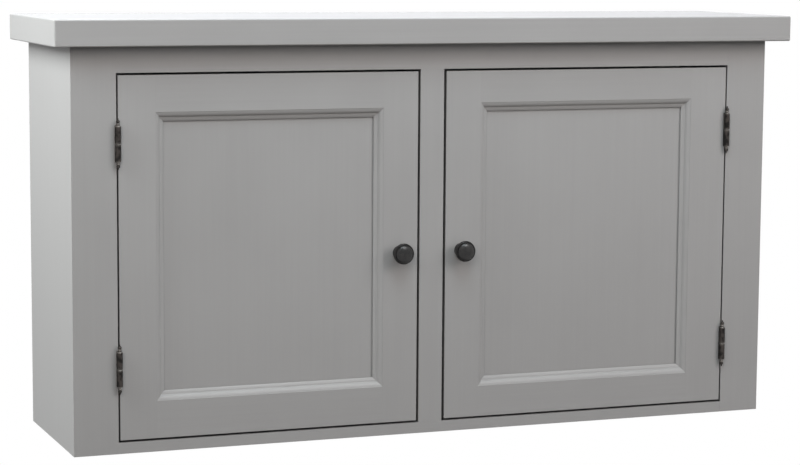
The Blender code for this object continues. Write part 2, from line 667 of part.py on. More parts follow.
def add_hinges(plan, cabinet, door, iron, steel):
    """Two lift-off hinges: the pin stands in the frame's knuckle and the door's drops over it."""
    pin_length = 2 * (BORE_DEPTH - FIT)
    for end, level in plan.hinge_levels.items():
        name = f"{plan.word}_{end}_hinge"
        leaf(f"{name}_frame_leaf", plan.hand, level, True, cabinet, iron)
        leaf(f"{name}_door_leaf", plan.hand, level, False, door, iron)
        turned(f"{name}_pin", rod(PIN_RADIUS, pin_length), PEG_FACETS,
               (plan.hand * HINGE_X, HINGE_Y, level - pin_length / 2), UP, cabinet, steel)


# Knobs and catches

def knob_profile():
    """A turned mushroom knob with a blind bore for its bolt, from the door face outwards."""
    bore = BOLT_RADIUS + FIT
    bore_depth = BOLT_ENGAGEMENT + FIT
    step_height = KNOB_FACE_HEIGHT - KNOB_RING_STEP
    profile = [(0, bore_depth), (bore, bore_depth), (bore, 0), (KNOB_BASE_RADIUS, 0)]
    profile += [(KNOB_BASE_RADIUS, KNOB_BASE_HEIGHT)]
    profile += quarter((KNOB_BASE_RADIUS, KNOB_BASE_HEIGHT), (KNOB_NECK_RADIUS, KNOB_HEAD_START))[1:]
    profile += quarter((KNOB_NECK_RADIUS, KNOB_HEAD_START), (KNOB_HEAD_RADIUS, KNOB_RIM_HEIGHT))[1:]
    face = quarter((KNOB_FACE_RADIUS, KNOB_FACE_HEIGHT), (KNOB_HEAD_RADIUS, KNOB_RIM_HEIGHT))
    profile += face[-2::-1]
    profile += [(KNOB_DOME_RADIUS, step_height)]
    dome = quarter((0, step_height + KNOB_DOME_HEIGHT), (KNOB_DOME_RADIUS, step_height))
    return profile + dome[-2::-1]


def add_knob(plan, door, bronze, steel):
    """The knob on the lock stile, and the bolt that holds it from inside the door."""
    axis_x = plan.hand * plan.knob_x
    turned(f"{plan.word}_knob", knob_profile(), KNOB_FACETS, (axis_x, FRONT_Y - FIT, KNOB_LEVEL), TO_FRONT,
           door, bronze)
    head_end = DOOR_BACK_Y + FIT
    length = BOLT_HEAD_HEIGHT + DOOR_THICKNESS + 2 * FIT + BOLT_ENGAGEMENT
    crown = quarter((BOLT_HEAD_RADIUS / 2, 0), (BOLT_HEAD_RADIUS, BOLT_HEAD_HEIGHT / 2))
    profile = [(0, 0)] + crown + [(BOLT_HEAD_RADIUS, BOLT_HEAD_HEIGHT), (BOLT_RADIUS, BOLT_HEAD_HEIGHT)]
    profile += [(BOLT_RADIUS, length), (0, length)]
    turned(f"{plan.word}_knob_bolt", profile, PEG_FACETS,
           (axis_x, head_end + BOLT_HEAD_HEIGHT, KNOB_LEVEL), TO_FRONT, door, steel)


def add_catch(plan, cabinet, door, plastic, steel):
    """A magnetic catch behind the mullion, stepped to clear the door, and the plate that it holds."""
    strike_x = sided(plan.hand, plan.inner, plan.inner + STRIKE_WIDTH)
    strike_y = (DOOR_BACK_Y + FIT, DOOR_BACK_Y + FIT + STRIKE_THICKNESS)
    board(f"{plan.word}_strike_plate", (strike_x, strike_y, around(CATCH_LEVEL, STRIKE_HEIGHT)), door, steel)
    seat_y = FRAME_BACK_Y + FIT
    pole_y = strike_y[1] + FIT
    rear_y = max(seat_y, pole_y) + CATCH_DEPTH
    step = plan.mullion_edge
    near = step - (MULLION_WIDTH - CATCH_SPACING) / 2
    far = plan.inner + CATCH_REACH
    outline = [(near, seat_y), (step, seat_y), (step, pole_y), (far, pole_y), (far, rear_y), (near, rear_y)]
    low_z = CATCH_LEVEL - CATCH_HEIGHT / 2
    extruded(f"{plan.word}_catch", [(plan.hand * x, y, low_z) for x, y in outline], UP * CATCH_HEIGHT,
             cabinet, plastic)


# Assembly

def add_empty(name, location, parent=None):
    """An empty that carries other pieces."""
    empty = bpy.data.objects.new(name, None)
    empty.location = location
    empty.parent = parent
    bpy.context.scene.collection.objects.link(empty)
    return empty


def main():
    for item in list(bpy.data.objects):
        bpy.data.objects.remove(item, do_unlink=True)

    paint = finish("grey_paint", (0.333, 0.329, 0.323), 0.5, 0)
    pine = finish("bare_pine", (0.55, 0.38, 0.22), 0.6, 0)
    iron = finish("dark_iron", (0.045, 0.040, 0.036), 0.45, 0.9)
    bronze = finish("dark_bronze", (0.035, 0.030, 0.027), 0.35, 0.9)
    steel = finish("bright_steel", (0.55, 0.55, 0.54), 0.3, 1)
    plastic = finish("brown_plastic", (0.06, 0.04, 0.03), 0.45, 0)

    cabinet = add_empty("cabinet", (0, 0, -UPPER_RAIL_MIDDLE))
    add_carcass(cabinet, paint, pine)
    add_slab(cabinet, paint)
    add_shelf(cabinet, paint, steel)
    add_face_frame(cabinet, paint)
    for plan in DOORS.values():
        axis = Vector((plan.hand * HINGE_X, HINGE_Y, DOOR_BOTTOM))
        door = add_empty(f"{plan.word}_door_axis", axis, cabinet)
        add_door(plan, door, paint)
        add_mouldings(plan, door, paint)
        add_hinges(plan, cabinet, door, iron, steel)
        add_knob(plan, door, bronze, steel)
        add_catch(plan, cabinet, door, plastic, steel)


main()
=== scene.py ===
"""Looks of a painted kitchen wall cabinet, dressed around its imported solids.

Metres, +Z up, the doors face -Y, and the origin is on the wall at the middle of the upper hanging
rail. Each sub-assembly is a class: its sizes are its fields, and build makes and dresses its pieces.
"""

import json
import logging
import math
from dataclasses import dataclass
from enum import Enum
from functools import cache
from typing import Any, Iterable, Mapping, NamedTuple, Sequence

import bmesh
import bpy
from mathutils import Matrix, Vector


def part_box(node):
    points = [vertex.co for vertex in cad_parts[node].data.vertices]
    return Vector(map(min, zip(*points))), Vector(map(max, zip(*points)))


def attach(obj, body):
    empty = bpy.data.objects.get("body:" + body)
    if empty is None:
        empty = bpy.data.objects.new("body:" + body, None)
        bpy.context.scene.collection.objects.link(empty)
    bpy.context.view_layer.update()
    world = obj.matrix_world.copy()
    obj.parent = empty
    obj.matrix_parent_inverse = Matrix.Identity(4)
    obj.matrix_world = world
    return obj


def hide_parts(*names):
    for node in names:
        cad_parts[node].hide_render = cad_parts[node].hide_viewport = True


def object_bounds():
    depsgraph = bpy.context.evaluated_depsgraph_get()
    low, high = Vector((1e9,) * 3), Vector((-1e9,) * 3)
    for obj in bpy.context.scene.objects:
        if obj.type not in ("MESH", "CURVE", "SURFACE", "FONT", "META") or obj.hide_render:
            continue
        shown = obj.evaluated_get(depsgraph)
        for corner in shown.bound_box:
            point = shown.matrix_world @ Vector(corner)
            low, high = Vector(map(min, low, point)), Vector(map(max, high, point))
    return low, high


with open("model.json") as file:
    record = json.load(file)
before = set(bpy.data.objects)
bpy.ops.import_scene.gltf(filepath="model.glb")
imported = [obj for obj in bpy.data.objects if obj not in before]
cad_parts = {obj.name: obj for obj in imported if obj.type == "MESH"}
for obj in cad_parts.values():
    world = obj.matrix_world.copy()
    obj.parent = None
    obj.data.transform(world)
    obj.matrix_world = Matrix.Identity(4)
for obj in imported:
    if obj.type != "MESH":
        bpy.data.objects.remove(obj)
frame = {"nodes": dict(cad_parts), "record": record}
CAD_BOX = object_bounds()

log = logging.getLogger("wall_cabinet")

Colour = tuple[float, float, float]
Place = tuple[float, float, float]
Point = tuple[float, float]
Seat = tuple[int, float]
Shares = tuple[float, ...]
Solid = bmesh.types.BMesh

WHITE = (1.0, 1.0, 1.0)

X, Y, Z = 0, 1, 2
RIGHTWARD = Vector((1, 0, 0))
INWARD = Vector((0, 1, 0))
OUTWARD = Vector((0, -1, 0))
UPWARD = Vector((0, 0, 1))

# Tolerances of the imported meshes, and how round edges are shaded
WELD = 0.000001
FLAT = math.radians(1)
SAME_PLANE = 0.00002
CAD_FIT = 0.0003
SEAT_REACH = 0.0004
SHARP_ANGLE = math.radians(35)


class Hand(Enum):
    """The two hands of the cabinet, seen from the front."""

    LEFT = -1
    RIGHT = 1

    @property
    def word(self) -> str:
        """The hand as the CAD nodes spell it."""
        return self.name.lower()


class Level(Enum):
    """The two hinges of a door."""

    LOWER = "lower"
    UPPER = "upper"


class Glow(Enum):
    """What a studio light does to a surface: light it, show in its gloss, or both."""

    FULL = "full"
    MATT = "matt"
    GLOSS = "gloss"


class Stroke(Enum):
    """Which way the brush, and the grain under it, ran along a board."""

    LEVEL = X
    UPRIGHT = Z

    def frequencies(self, length: float, width: float) -> tuple[float, float, float]:
        """Texture frequencies for marks of a length along the stroke and a width across it."""
        return tuple(1 / length if axis == self.value else 1 / width for axis in (X, Y, Z))


# Shader graphs


class Signal:
    """An output of a shader graph. Arithmetic on signals and numbers adds Math nodes."""

    def __init__(self, graph: "ShaderGraph", socket: bpy.types.NodeSocket | None) -> None:
        """Wrap one socket of a graph."""
        self.graph = graph
        self.socket = socket

    def __add__(self, other: "Signal | float") -> "Signal":
        """This value plus another."""
        return self.graph.math("ADD", self, other)

    def __sub__(self, other: "Signal | float") -> "Signal":
        """This value less another."""
        return self.graph.math("SUBTRACT", self, other)

    def __rsub__(self, other: float) -> "Signal":
        """A number less this value."""
        return self.graph.math("SUBTRACT", other, self)

    def __mul__(self, other: "Signal | float") -> "Signal":
        """This value times another."""
        return self.graph.math("MULTIPLY", self, other)

    __radd__ = __add__
    __rmul__ = __mul__

    def highest(self, other: "Signal | float") -> "Signal":
        """The larger of this value and another."""
        return self.graph.math("MAXIMUM", self, other)

    def between(self, low: float, high: float) -> "Signal":
        """This value spread so that low becomes 0 and high becomes 1, and kept in that range."""
        sockets = {"Value": self, "From Min": low, "From Max": high}
        return self.graph.node("ShaderNodeMapRange", {"clamp": True}, sockets)


class ShaderGraph:
    """The node tree of one material, or of the world."""

    def __init__(self, tree: bpy.types.NodeTree) -> None:
        """Start with an empty tree."""
        tree.nodes.clear()
        self.tree = tree

    def node(self, kind: str, settings: Mapping[str, Any] | None = None,
             sockets: Mapping[str | int, Any] | None = None, output: str | int = 0) -> Signal:
        """Add any node.

        Args:
            kind: the node's type.
            settings: its own properties, which are set first.
            sockets: signals to link, or plain values to set, by input.
            output: the output that is wanted.

        Returns:
            That output, or an empty signal where the node has none.
        """
        made = self.tree.nodes.new(kind)
        for name, value in (settings or {}).items():
            setattr(made, name, value)
        for key, value in (sockets or {}).items():
            socket = made.inputs[key]
            if isinstance(value, Signal):
                self.tree.links.new(value.socket, socket)
            else:
                socket.default_value = (*value, 1) if socket.type == "RGBA" else value
        return Signal(self, made.outputs[output] if made.outputs else None)

    def math(self, operation: str, *values: Signal | float) -> Signal:
        """Add a Math node on values."""
        return self.node("ShaderNodeMath", {"operation": operation}, dict(enumerate(values)))

    def vector(self, operation: str, *values: Signal | Sequence[float]) -> Signal:
        """Add a Vector Math node."""
        return self.node("ShaderNodeVectorMath", {"operation": operation}, dict(enumerate(values)))

    def mix(self, first: Signal | Colour, second: Signal | Colour, share: Signal) -> Signal:
        """A colour between two, by the second one's share."""
        return self.node("ShaderNodeMix", {"data_type": "RGBA"}, {0: share, 6: first, 7: second}, 2)

    def place(self, spread: float = 23.0) -> Signal:
        """Coordinates fixed to the piece, moved by an amount of each piece's own.

        Args:
            spread: the largest such amount.

        Returns:
            The coordinates, in metres.
        """
        spot = self.node("ShaderNodeTexCoord", output="Object")
        shift = self.node("ShaderNodeObjectInfo", output="Random") * spread
        return self.vector("ADD", spot, shift)

    def noise(self, spot: Signal, frequency: float = 1.0, detail: float = 2.0) -> Signal:
        """Soft noise from 0 to 1, with a frequency per metre."""
        sockets = {"Vector": spot, "Scale": frequency, "Detail": detail}
        return self.node("ShaderNodeTexNoise", sockets=sockets)

    def marks(self, spot: Signal, stroke: Stroke, length: float, width: float,
              detail: float) -> Signal:
        """Noise drawn out along a stroke into marks of a length and a width in metres."""
        drawn = self.vector("MULTIPLY", spot, stroke.frequencies(length, width))
        return self.noise(drawn, detail=detail)

    def bump(self, height: Signal, depth: float) -> Signal:
        """A normal for a relief of some depth in metres."""
        sockets = {"Strength": 1.0, "Distance": depth, "Height": height}
        return self.node("ShaderNodeBump", sockets=sockets)

    def surface(self, shader: Signal) -> None:
        """Send a shader to the material's output."""
        self.node("ShaderNodeOutputMaterial", sockets={"Surface": shader})


def blended(shares: Shares, *signals: Signal) -> Signal:
    """Signals added up, each by its share.

    Args:
        shares: one share for each signal.
        signals: the signals to add.

    Returns:
        Their sum.
    """
    total = signals[0] * shares[0]
    for signal, share in zip(signals[1:], shares[1:]):
        total = total + signal * share
    return total


# Finishes


@dataclass(frozen=True)
class Finish:
    """A surface finish, and the record's material slot that it belongs to."""

    name: str
    slot: str

    def shade(self, graph: ShaderGraph, spot: Signal) -> dict[str, Any]:
        """Draw the finish.

        Args:
            graph: the graph to draw in.
            spot: coordinates fixed to the piece.

        Returns:
            What goes to the sockets of the finish's shader.
        """
        raise NotImplementedError

    @cache
    def material(self) -> bpy.types.Material:
        """The finish's one material, made when it is first asked for.

        Returns:
            The material.
        """
        made = bpy.data.materials.new(self.name)
        made.use_nodes = True
        graph = ShaderGraph(made.node_tree)
        sockets = self.shade(graph, graph.place())
        graph.surface(graph.node("ShaderNodeBsdfPrincipled", sockets=sockets))
        return made


@dataclass(frozen=True)
class BrushedPaint(Finish):
    """Eggshell paint laid on by brush over fine-grained timber."""

    stroke: Stroke
    deep: Colour = (0.322, 0.317, 0.311)
    pale: Colour = (0.352, 0.347, 0.341)
    cloud_size: float = 0.16
    stroke_length: float = 0.22
    stroke_width: float = 0.0016
    grain_length: float = 0.30
    grain_width: float = 0.007
    peel_size: float = 0.0012
    relief: float = 0.000022
    dull: float = 0.56
    glossy: float = 0.44
    tone_shares: Shares = (0.55, 0.25, 0.2)
    relief_shares: Shares = (0.5, 0.3, 0.2)
    sheen_shares: Shares = (0.5, 0.5)
    contrast: Point = (0.3, 0.7)

    def shade(self, graph: ShaderGraph, spot: Signal) -> dict[str, Any]:
        """Draw drifts of tone, the brush's streaks, faint grain and a slight orange peel.

        Args:
            graph: the graph to draw in.
            spot: coordinates fixed to the piece.

        Returns:
            What goes to the sockets of the finish's shader.
        """
        clouds = graph.noise(spot, 1 / self.cloud_size, detail=3)
        streaks = graph.marks(spot, self.stroke, self.stroke_length, self.stroke_width, detail=3)
        grain = graph.marks(spot, self.stroke, self.grain_length, self.grain_width, detail=2)
        peel = graph.noise(spot, 1 / self.peel_size, detail=1)
        tone = blended(self.tone_shares, clouds, streaks, grain)
        height = blended(self.relief_shares, streaks, grain, peel)
        sheen = blended(self.sheen_shares, clouds, streaks)
        return {
            "Base Color": graph.mix(self.deep, self.pale, tone.between(*self.contrast)),
            "Roughness": self.glossy + sheen.between(*self.contrast) * (self.dull - self.glossy),
            "Normal": graph.bump(height, self.relief),
        }


@dataclass(frozen=True)
class BareTimber(Finish):
    """Unpainted pine, for what faces the wall."""

    stroke: Stroke
    early: Colour = (0.62, 0.45, 0.27)
    late: Colour = (0.44, 0.27, 0.13)
    ring_length: float = 1.6
    ring_width: float = 0.029
    rings: float = 9.0
    fibre_length: float = 0.06
    fibre_width: float = 0.0008
    relief: float = 0.00004
    roughness: float = 0.62
    fibre_roughness: float = 0.2
    grain_shares: Shares = (0.75, 0.35)
    grain_range: Point = (0.15, 1.0)
    relief_shares: Shares = (0.6, 0.4)

    def shade(self, graph: ShaderGraph, spot: Signal) -> dict[str, Any]:
        """Draw wandering growth rings with fine fibres along them.

        Args:
            graph: the graph to draw in.
            spot: coordinates fixed to the piece.

        Returns:
            What goes to the sockets of the finish's shader.
        """
        swirl = graph.marks(spot, self.stroke, self.ring_length, self.ring_width, detail=2)
        rings = graph.math("PINGPONG", swirl * self.rings, 1.0)
        fibres = graph.marks(spot, self.stroke, self.fibre_length, self.fibre_width, detail=2)
        grain = blended(self.grain_shares, rings * rings, fibres)
        return {
            "Base Color": graph.mix(self.early, self.late, grain.between(*self.grain_range)),
            "Roughness": self.roughness + fibres * self.fibre_roughness,
            "Normal": graph.bump(blended(self.relief_shares, fibres, rings), self.relief),
        }


@dataclass(frozen=True)
class AgedMetal(Finish):
    """Dark cast metal with a mottled patina, rubbed brighter on its edges."""

    deep: Colour
    patina: Colour
    rubbed: Colour
    roughness: float
    metallic: float = 0.85
    specular: float = 0.5
    mottle_size: float = 0.006
    pit_size: float = 0.0007
    relief: float = 0.00003
    mottle_range: Point = (0.40, 0.60)
    edge_range: Point = (0.515, 0.60)
    least_rubbed: float = 0.4
    roughness_swing: float = 0.12
    relief_shares: Shares = (0.6, 0.4)

    def shade(self, graph: ShaderGraph, spot: Signal) -> dict[str, Any]:
        """Draw blotches of patina, small pits and the rubbed edges.

        Args:
            graph: the graph to draw in.
            spot: coordinates fixed to the piece.

        Returns:
            What goes to the sockets of the finish's shader.
        """
        mottle = graph.noise(spot, 1 / self.mottle_size, detail=3).between(*self.mottle_range)
        pits = graph.noise(spot, 1 / self.pit_size, detail=2)
        edge = graph.node("ShaderNodeNewGeometry", output="Pointiness").between(*self.edge_range)
        wear = self.least_rubbed + pits * (1 - self.least_rubbed)
        aged = graph.mix(self.deep, self.patina, mottle)
        return {
            "Base Color": graph.mix(aged, self.rubbed, edge * wear),
            "Roughness": self.roughness + (mottle - edge) * self.roughness_swing,
            "Metallic": self.metallic,
            "Specular IOR Level": self.specular,
            "Normal": graph.bump(blended(self.relief_shares, pits, mottle), self.relief),
        }


@dataclass(frozen=True)
class BrushedSteel(Finish):
    """Bright steel with fine lines from its rolling or turning."""

    colour: Colour = (0.56, 0.555, 0.54)
    tarnish: Colour = (0.36, 0.34, 0.31)
    line_length: float = 0.02
    line_width: float = 0.0003
    tarnish_size: float = 0.009
    tarnish_range: Point = (0.45, 0.75)
    roughness: float = 0.24
    roughness_shares: Shares = (0.12, 0.14)
    relief: float = 0.000008

    def shade(self, graph: ShaderGraph, spot: Signal) -> dict[str, Any]:
        """Draw fine lines and a little tarnish.

        Args:
            graph: the graph to draw in.
            spot: coordinates fixed to the piece.

        Returns:
            What goes to the sockets of the finish's shader.
        """
        lines = graph.marks(spot, Stroke.UPRIGHT, self.line_length, self.line_width, detail=2)
        dull = graph.noise(spot, 1 / self.tarnish_size, detail=3).between(*self.tarnish_range)
        return {
            "Base Color": graph.mix(self.colour, self.tarnish, dull),
            "Roughness": self.roughness + blended(self.roughness_shares, lines, dull),
            "Metallic": 1.0,
            "Normal": graph.bump(lines, self.relief),
        }


@dataclass(frozen=True)
class MouldedPlastic(Finish):
    """Brown plastic with a fine spark-eroded texture."""

    colour: Colour = (0.060, 0.040, 0.030)
    scuffed: Colour = (0.095, 0.072, 0.058)
    texture_size: float = 0.0004
    scuff_size: float = 0.008
    scuff_range: Point = (0.5, 0.8)
    roughness: float = 0.38
    roughness_shares: Shares = (0.12, 0.1)
    relief: float = 0.00002

    def shade(self, graph: ShaderGraph, spot: Signal) -> dict[str, Any]:
        """Draw the moulded texture and faint scuffs.

        Args:
            graph: the graph to draw in.
            spot: coordinates fixed to the piece.

        Returns:
            What goes to the sockets of the finish's shader.
        """
        texture = graph.noise(spot, 1 / self.texture_size, detail=2)
        scuffs = graph.noise(spot, 1 / self.scuff_size, detail=4).between(*self.scuff_range)
        return {
            "Base Color": graph.mix(self.colour, self.scuffed, scuffs),
            "Roughness": self.roughness + blended(self.roughness_shares, texture, scuffs),
            "Normal": graph.bump(texture, self.relief),
        }


LEVEL_PAINT = BrushedPaint("level_paint", "grey_paint", Stroke.LEVEL)
UPRIGHT_PAINT = BrushedPaint("upright_paint", "grey_paint", Stroke.UPRIGHT)
# Painted shade: a darker paint on the faces that border the door gaps, so that the gaps read as deep
# shadow
GAP_SHADE_PAINT = BrushedPaint("closing_edge_paint", "grey_paint", Stroke.UPRIGHT, (0.14, 0.137, 0.134),
                             (0.17, 0.167, 0.163))
LEVEL_PINE = BareTimber("level_pine", "bare_pine", Stroke.LEVEL)
UPRIGHT_PINE = BareTimber("upright_pine", "bare_pine", Stroke.UPRIGHT)
IRON = AgedMetal("hinge_iron", "dark_iron", (0.012, 0.011, 0.0105), (0.054, 0.046, 0.042),
                 (0.19, 0.175, 0.16), 0.42)
WORN_IRON = AgedMetal("worn_iron", "dark_iron", (0.11, 0.10, 0.092), (0.19, 0.175, 0.16),
                      (0.30, 0.28, 0.26), 0.36)
BRONZE = AgedMetal("knob_bronze", "dark_bronze", (0.004, 0.0038, 0.0038), (0.011, 0.0098, 0.0094),
                   (0.028, 0.026, 0.025), 0.27, metallic=0.0, specular=0.42)
STEEL = BrushedSteel("bright_steel_lines", "bright_steel")
PLASTIC = MouldedPlastic("catch_plastic", "brown_plastic")


# Mesh making


class Step(NamedTuple):
    """A point of a turned profile, and whether the stretch that ends there is rubbed bright."""

    radius: float
    height: float
    rubbed: bool = False


def quarter(start: Point, end: Point, steps: int = 8) -> list[Point]:
    """A quarter ellipse between two points.

    Args:
        start: the point that it leaves along the first axis.
        end: the point that it reaches along the second axis.
        steps: how many straight stretches stand for it.

    Returns:
        Its points, both ends among them.
    """
    run, fall = end[0] - start[0], end[1] - start[1]
    angles = [math.pi / 2 * i / steps for i in range(steps + 1)]
    return [(start[0] + run * math.sin(a), start[1] + fall * (1 - math.cos(a))) for a in angles]


def arc(centre: Point, radii: Point, start: float, end: float, steps: int = 8) -> list[Point]:
    """Points along an elliptic arc, its angles in degrees from the outward direction."""
    angles = [math.radians(start + (end - start) * i / steps) for i in range(steps + 1)]
    return [(centre[0] + radii[0] * math.cos(a), centre[1] + radii[1] * math.sin(a)) for a in angles]


def mesh_of(name: str, bm: Solid) -> bpy.types.Mesh:
    """A mesh with a solid's faces; the solid is freed.

    Args:
        name: the mesh's name.
        bm: the solid.

    Returns:
        The new mesh.
    """
    mesh = bpy.data.meshes.new(name)
    bm.to_mesh(mesh)
    bm.free()
    return mesh


def put(name: str, data: bpy.types.ID) -> bpy.types.Object:
    """A new object in the scene, with a mesh, a light or a camera as its data.

    Args:
        name: the object's name.
        data: its mesh, light or camera.

    Returns:
        The new object.
    """
    made = bpy.data.objects.new(name, data)
    bpy.context.scene.collection.objects.link(made)
    return made


def facing(place: Vector, direction: Vector) -> Matrix:
    """The placing that turns an upright piece to a direction and takes it to its place."""
    return Matrix.Translation(place) @ direction.to_track_quat("Z", "Y").to_matrix().to_4x4()


def turned(profile: Iterable[Point | Step], facets: int, placing: Matrix) -> Solid:
    """A turned solid.

    Args:
        profile: points of radius and height, from one end of the axis to the other.
        facets: how many flats go round it.
        placing: where the axis stands.

    Returns:
        The closed mesh, with its rubbed stretches marked by material index 1.
    """
    bm = bmesh.new()
    steps = [Step(*point) for point in profile]
    rings = []
    for step in steps:
        count = facets if step.radius > 0 else 1
        turns = [math.tau * i / facets for i in range(count)]
        spots = [(step.radius * math.cos(t), step.radius * math.sin(t), step.height) for t in turns]
        rings.append([bm.verts.new(placing @ Vector(spot)) for spot in spots])
    for ring, after, step in zip(rings, rings[1:], steps[1:]):
        for i in range(facets):
            spans = ((ring, i), (ring, i + 1), (after, i + 1), (after, i))
            corners = dict.fromkeys(row[k % len(row)] for row, k in spans)
            bm.faces.new(corners).material_index = int(step.rubbed)
    return bm


def block(low: Vector, high: Vector) -> Solid:
    """A squared block between two corners.

    Args:
        low: its lowest corner.
        high: its highest corner.

    Returns:
        The closed mesh.
    """
    middle = Matrix.Translation((low + high) / 2)
    bm = bmesh.new()
    bmesh.ops.create_cube(bm, size=1, matrix=middle @ Matrix.Diagonal((*(high - low), 1)))
    return bm


def drawn_out(outline: Sequence[Vector], run: Vector) -> Solid:
    """A flat outline drawn out along a vector.

    Args:
        outline: the corners of the outline, in order.
        run: how far and which way it is drawn.

    Returns:
        The closed mesh.
    """
    bm = bmesh.new()
    face = bm.faces.new([bm.verts.new(point) for point in outline])
    drawn = bmesh.ops.extrude_face_region(bm, geom=[face])["geom"]
    far_end = [item for item in drawn if isinstance(item, bmesh.types.BMVert)]
    bmesh.ops.translate(bm, verts=far_end, vec=run)
    return bm


def solid_of(node: str) -> Solid:
    """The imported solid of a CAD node, welded and with its flat sides whole again.

    Args:
        node: the CAD node.

    Returns:
        The closed mesh.
    """
    packed = frame["nodes"][node].data
    bm = bmesh.new()
    corners = [bm.verts.new(vertex.co) for vertex in packed.vertices]
    for polygon in packed.polygons:
        bm.faces.new([corners[i] for i in polygon.vertices])
    bmesh.ops.remove_doubles(bm, verts=bm.verts, dist=WELD)
    bmesh.ops.dissolve_limit(bm, angle_limit=FLAT, verts=bm.verts, edges=bm.edges)
    return bm


def gathered(parts: Iterable[Solid]) -> Solid:
    """Several loose solids as one mesh; the parts are freed.

    Args:
        parts: the solids.

    Returns:
        The mesh that holds them all.
    """
    whole = bmesh.new()
    carrier = bpy.data.meshes.new("gathered")
    for part in parts:
        part.to_mesh(carrier)
        part.free()
        whole.from_mesh(carrier)
    bpy.data.meshes.remove(carrier)
    return whole


def joined(base: Solid, tool: Solid, operation: str) -> Solid:
    """Cut a tool out of a solid, or fuse it on.

    Args:
        base: the solid; it is freed.
        tool: the other solid; it is freed.
        operation: DIFFERENCE or UNION.

    Returns:
        The result.
    """
    helpers = []
    for bm in (base, tool):
        bmesh.ops.recalc_face_normals(bm, faces=bm.faces)
        helpers.append(put("helper", mesh_of("helper", bm)))
    cut = helpers[0].modifiers.new("cut", "BOOLEAN")
    cut.operation = operation
    cut.solver = "EXACT"
    cut.object = helpers[1]
    result = bmesh.new()
    result.from_object(helpers[0], bpy.context.evaluated_depsgraph_get())
    for helper in helpers:
        mesh = helper.data
        bpy.data.objects.remove(helper)
        bpy.data.meshes.remove(mesh)
    return result


class Bench:
    """Where meshes become pieces: each is dressed, rides on its body and stands for its CAD node."""

    def __init__(self) -> None:
        """Note which body carries each CAD node."""
        groups = frame["record"]["behaviour"]["bodies"]
        self.carrier = {node: body for body, nodes in groups.items() for node in nodes}

    def piece(self, node: str, work: str, bm: Solid, *finishes: Finish,
              stands_for: bool = True) -> bpy.types.Object:
        """Make a piece from a finished mesh.

        Args:
            node: the CAD node that it goes with.
            work: the word that its name adds to the node's.
            bm: its mesh, in the frame's coordinates; it is freed.
            finishes: its finish, and any second one for faces with material index 1.
            stands_for: whether it takes that node's place.

        Returns:
            The new object.
        """
        name = f"{node}_{work}"
        bmesh.ops.recalc_face_normals(bm, faces=bm.faces)
        mesh = mesh_of(name, bm)
        for finish in finishes:
            mesh.materials.append(finish.material())
        mesh.shade_smooth()
        mesh.set_sharp_from_angle(angle=SHARP_ANGLE)
        made = put(name, mesh)
        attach(made, self.carrier[node])
        if stands_for:
            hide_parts(node)
        log.info("%s rides on %s", name, self.carrier[node])
        return made

    def ease(self, piece: bpy.types.Object, width: float, segments: int = 3) -> None:
        """Round the marked edges of a piece.

        Args:
            piece: the piece.
            width: how wide the easing is.
            segments: how many flats stand for it.
        """
        easing = piece.modifiers.new("eased arrises", "BEVEL")
        easing.limit_method = "WEIGHT"
        easing.width = width
        easing.segments = segments
        easing.use_clamp_overlap = False
        easing.harden_normals = True

    def board(self, node: str, finish: Finish, ease: float, seats: Sequence[Seat] = (),
              marked: Sequence[Seat] = (), marked_finish: Finish = GAP_SHADE_PAINT) -> bpy.types.Object:
        """Dress one board: its joints drawn tight, and its free arrises eased.

        Args:
            node: the CAD node of the board.
            finish: its paint.
            ease: the radius of its arrises.
            seats: the planes, as axis and place, where it meets other boards.
            marked: the planes that have a finish of their own.
            marked_finish: that finish; by default a darker paint, which is painted shade for the faces
                round the door gaps.

        Returns:
            The new piece.
        """
        bm = solid_of(node)
        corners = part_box(node)
        for axis, plane in seats:
            near = min(corners, key=lambda corner: abs(corner[axis] - plane))
            near[axis] = plane
            for vert in bm.verts:
                if abs(vert.co[axis] - plane) < SEAT_REACH:
                    vert.co[axis] = plane
        mark_arrises(bm, corners, seats)
        for face in bm.faces:
            face.material_index = int(any(lies_on(face, seat) for seat in marked))
        finishes = [finish, marked_finish] if marked else [finish]
        piece = self.piece(node, "painted", bm, *finishes)
        self.ease(piece, ease)
        return piece

    def eased_copy(self, node: str, finish: Finish, ease: float) -> bpy.types.Object:
        """Dress a CAD node with every outer edge eased.

        Args:
            node: the CAD node.
            finish: its finish.
            ease: the radius of its edges.

        Returns:
            The new piece.
        """
        bm = solid_of(node)
        weight = bm.edges.layers.float.new("bevel_weight_edge")
        for edge in bm.edges:
            edge[weight] = float(edge.calc_face_angle_signed(0) > SHARP_ANGLE)
        piece = self.piece(node, "finished", bm, finish)
        self.ease(piece, ease)
        return piece


def lies_on(face: bmesh.types.BMFace, seat: Seat) -> bool:
    """Whether a face lies wholly on a plane."""
    axis, plane = seat
    return all(abs(vert.co[axis] - plane) < SAME_PLANE for vert in face.verts)


def mark_arrises(bm: Solid, corners: Sequence[Vector], seats: Sequence[Seat],
                 joint_share: float = 0.16) -> None:
    """Weigh the edges of a board's own box for easing, those at its joints only a little.

    Args:
        bm: the board.
        corners: the lowest and highest corner of the board without its tenons.
        seats: the planes where it meets other boards.
        joint_share: how much of the easing an edge at a joint gets.
    """
    weight = bm.edges.layers.float.new("bevel_weight_edge")
    planes = [(axis, corner[axis]) for axis in (X, Y, Z) for corner in corners]
    side_of = {}
    for face in bm.faces:
        for side, seat in enumerate(planes):
            if lies_on(face, seat):
                side_of[face] = side
    tight = [any(axis == seat[0] and abs(plane - seat[1]) < SAME_PLANE for seat in seats)
             for axis, plane in planes]
    for edge in bm.edges:
        sides = {side_of.get(face) for face in edge.link_faces}
        if len(sides) == 2 and None not in sides:
            edge[weight] = joint_share if any(tight[side] for side in sides) else 1.0


# Carcass


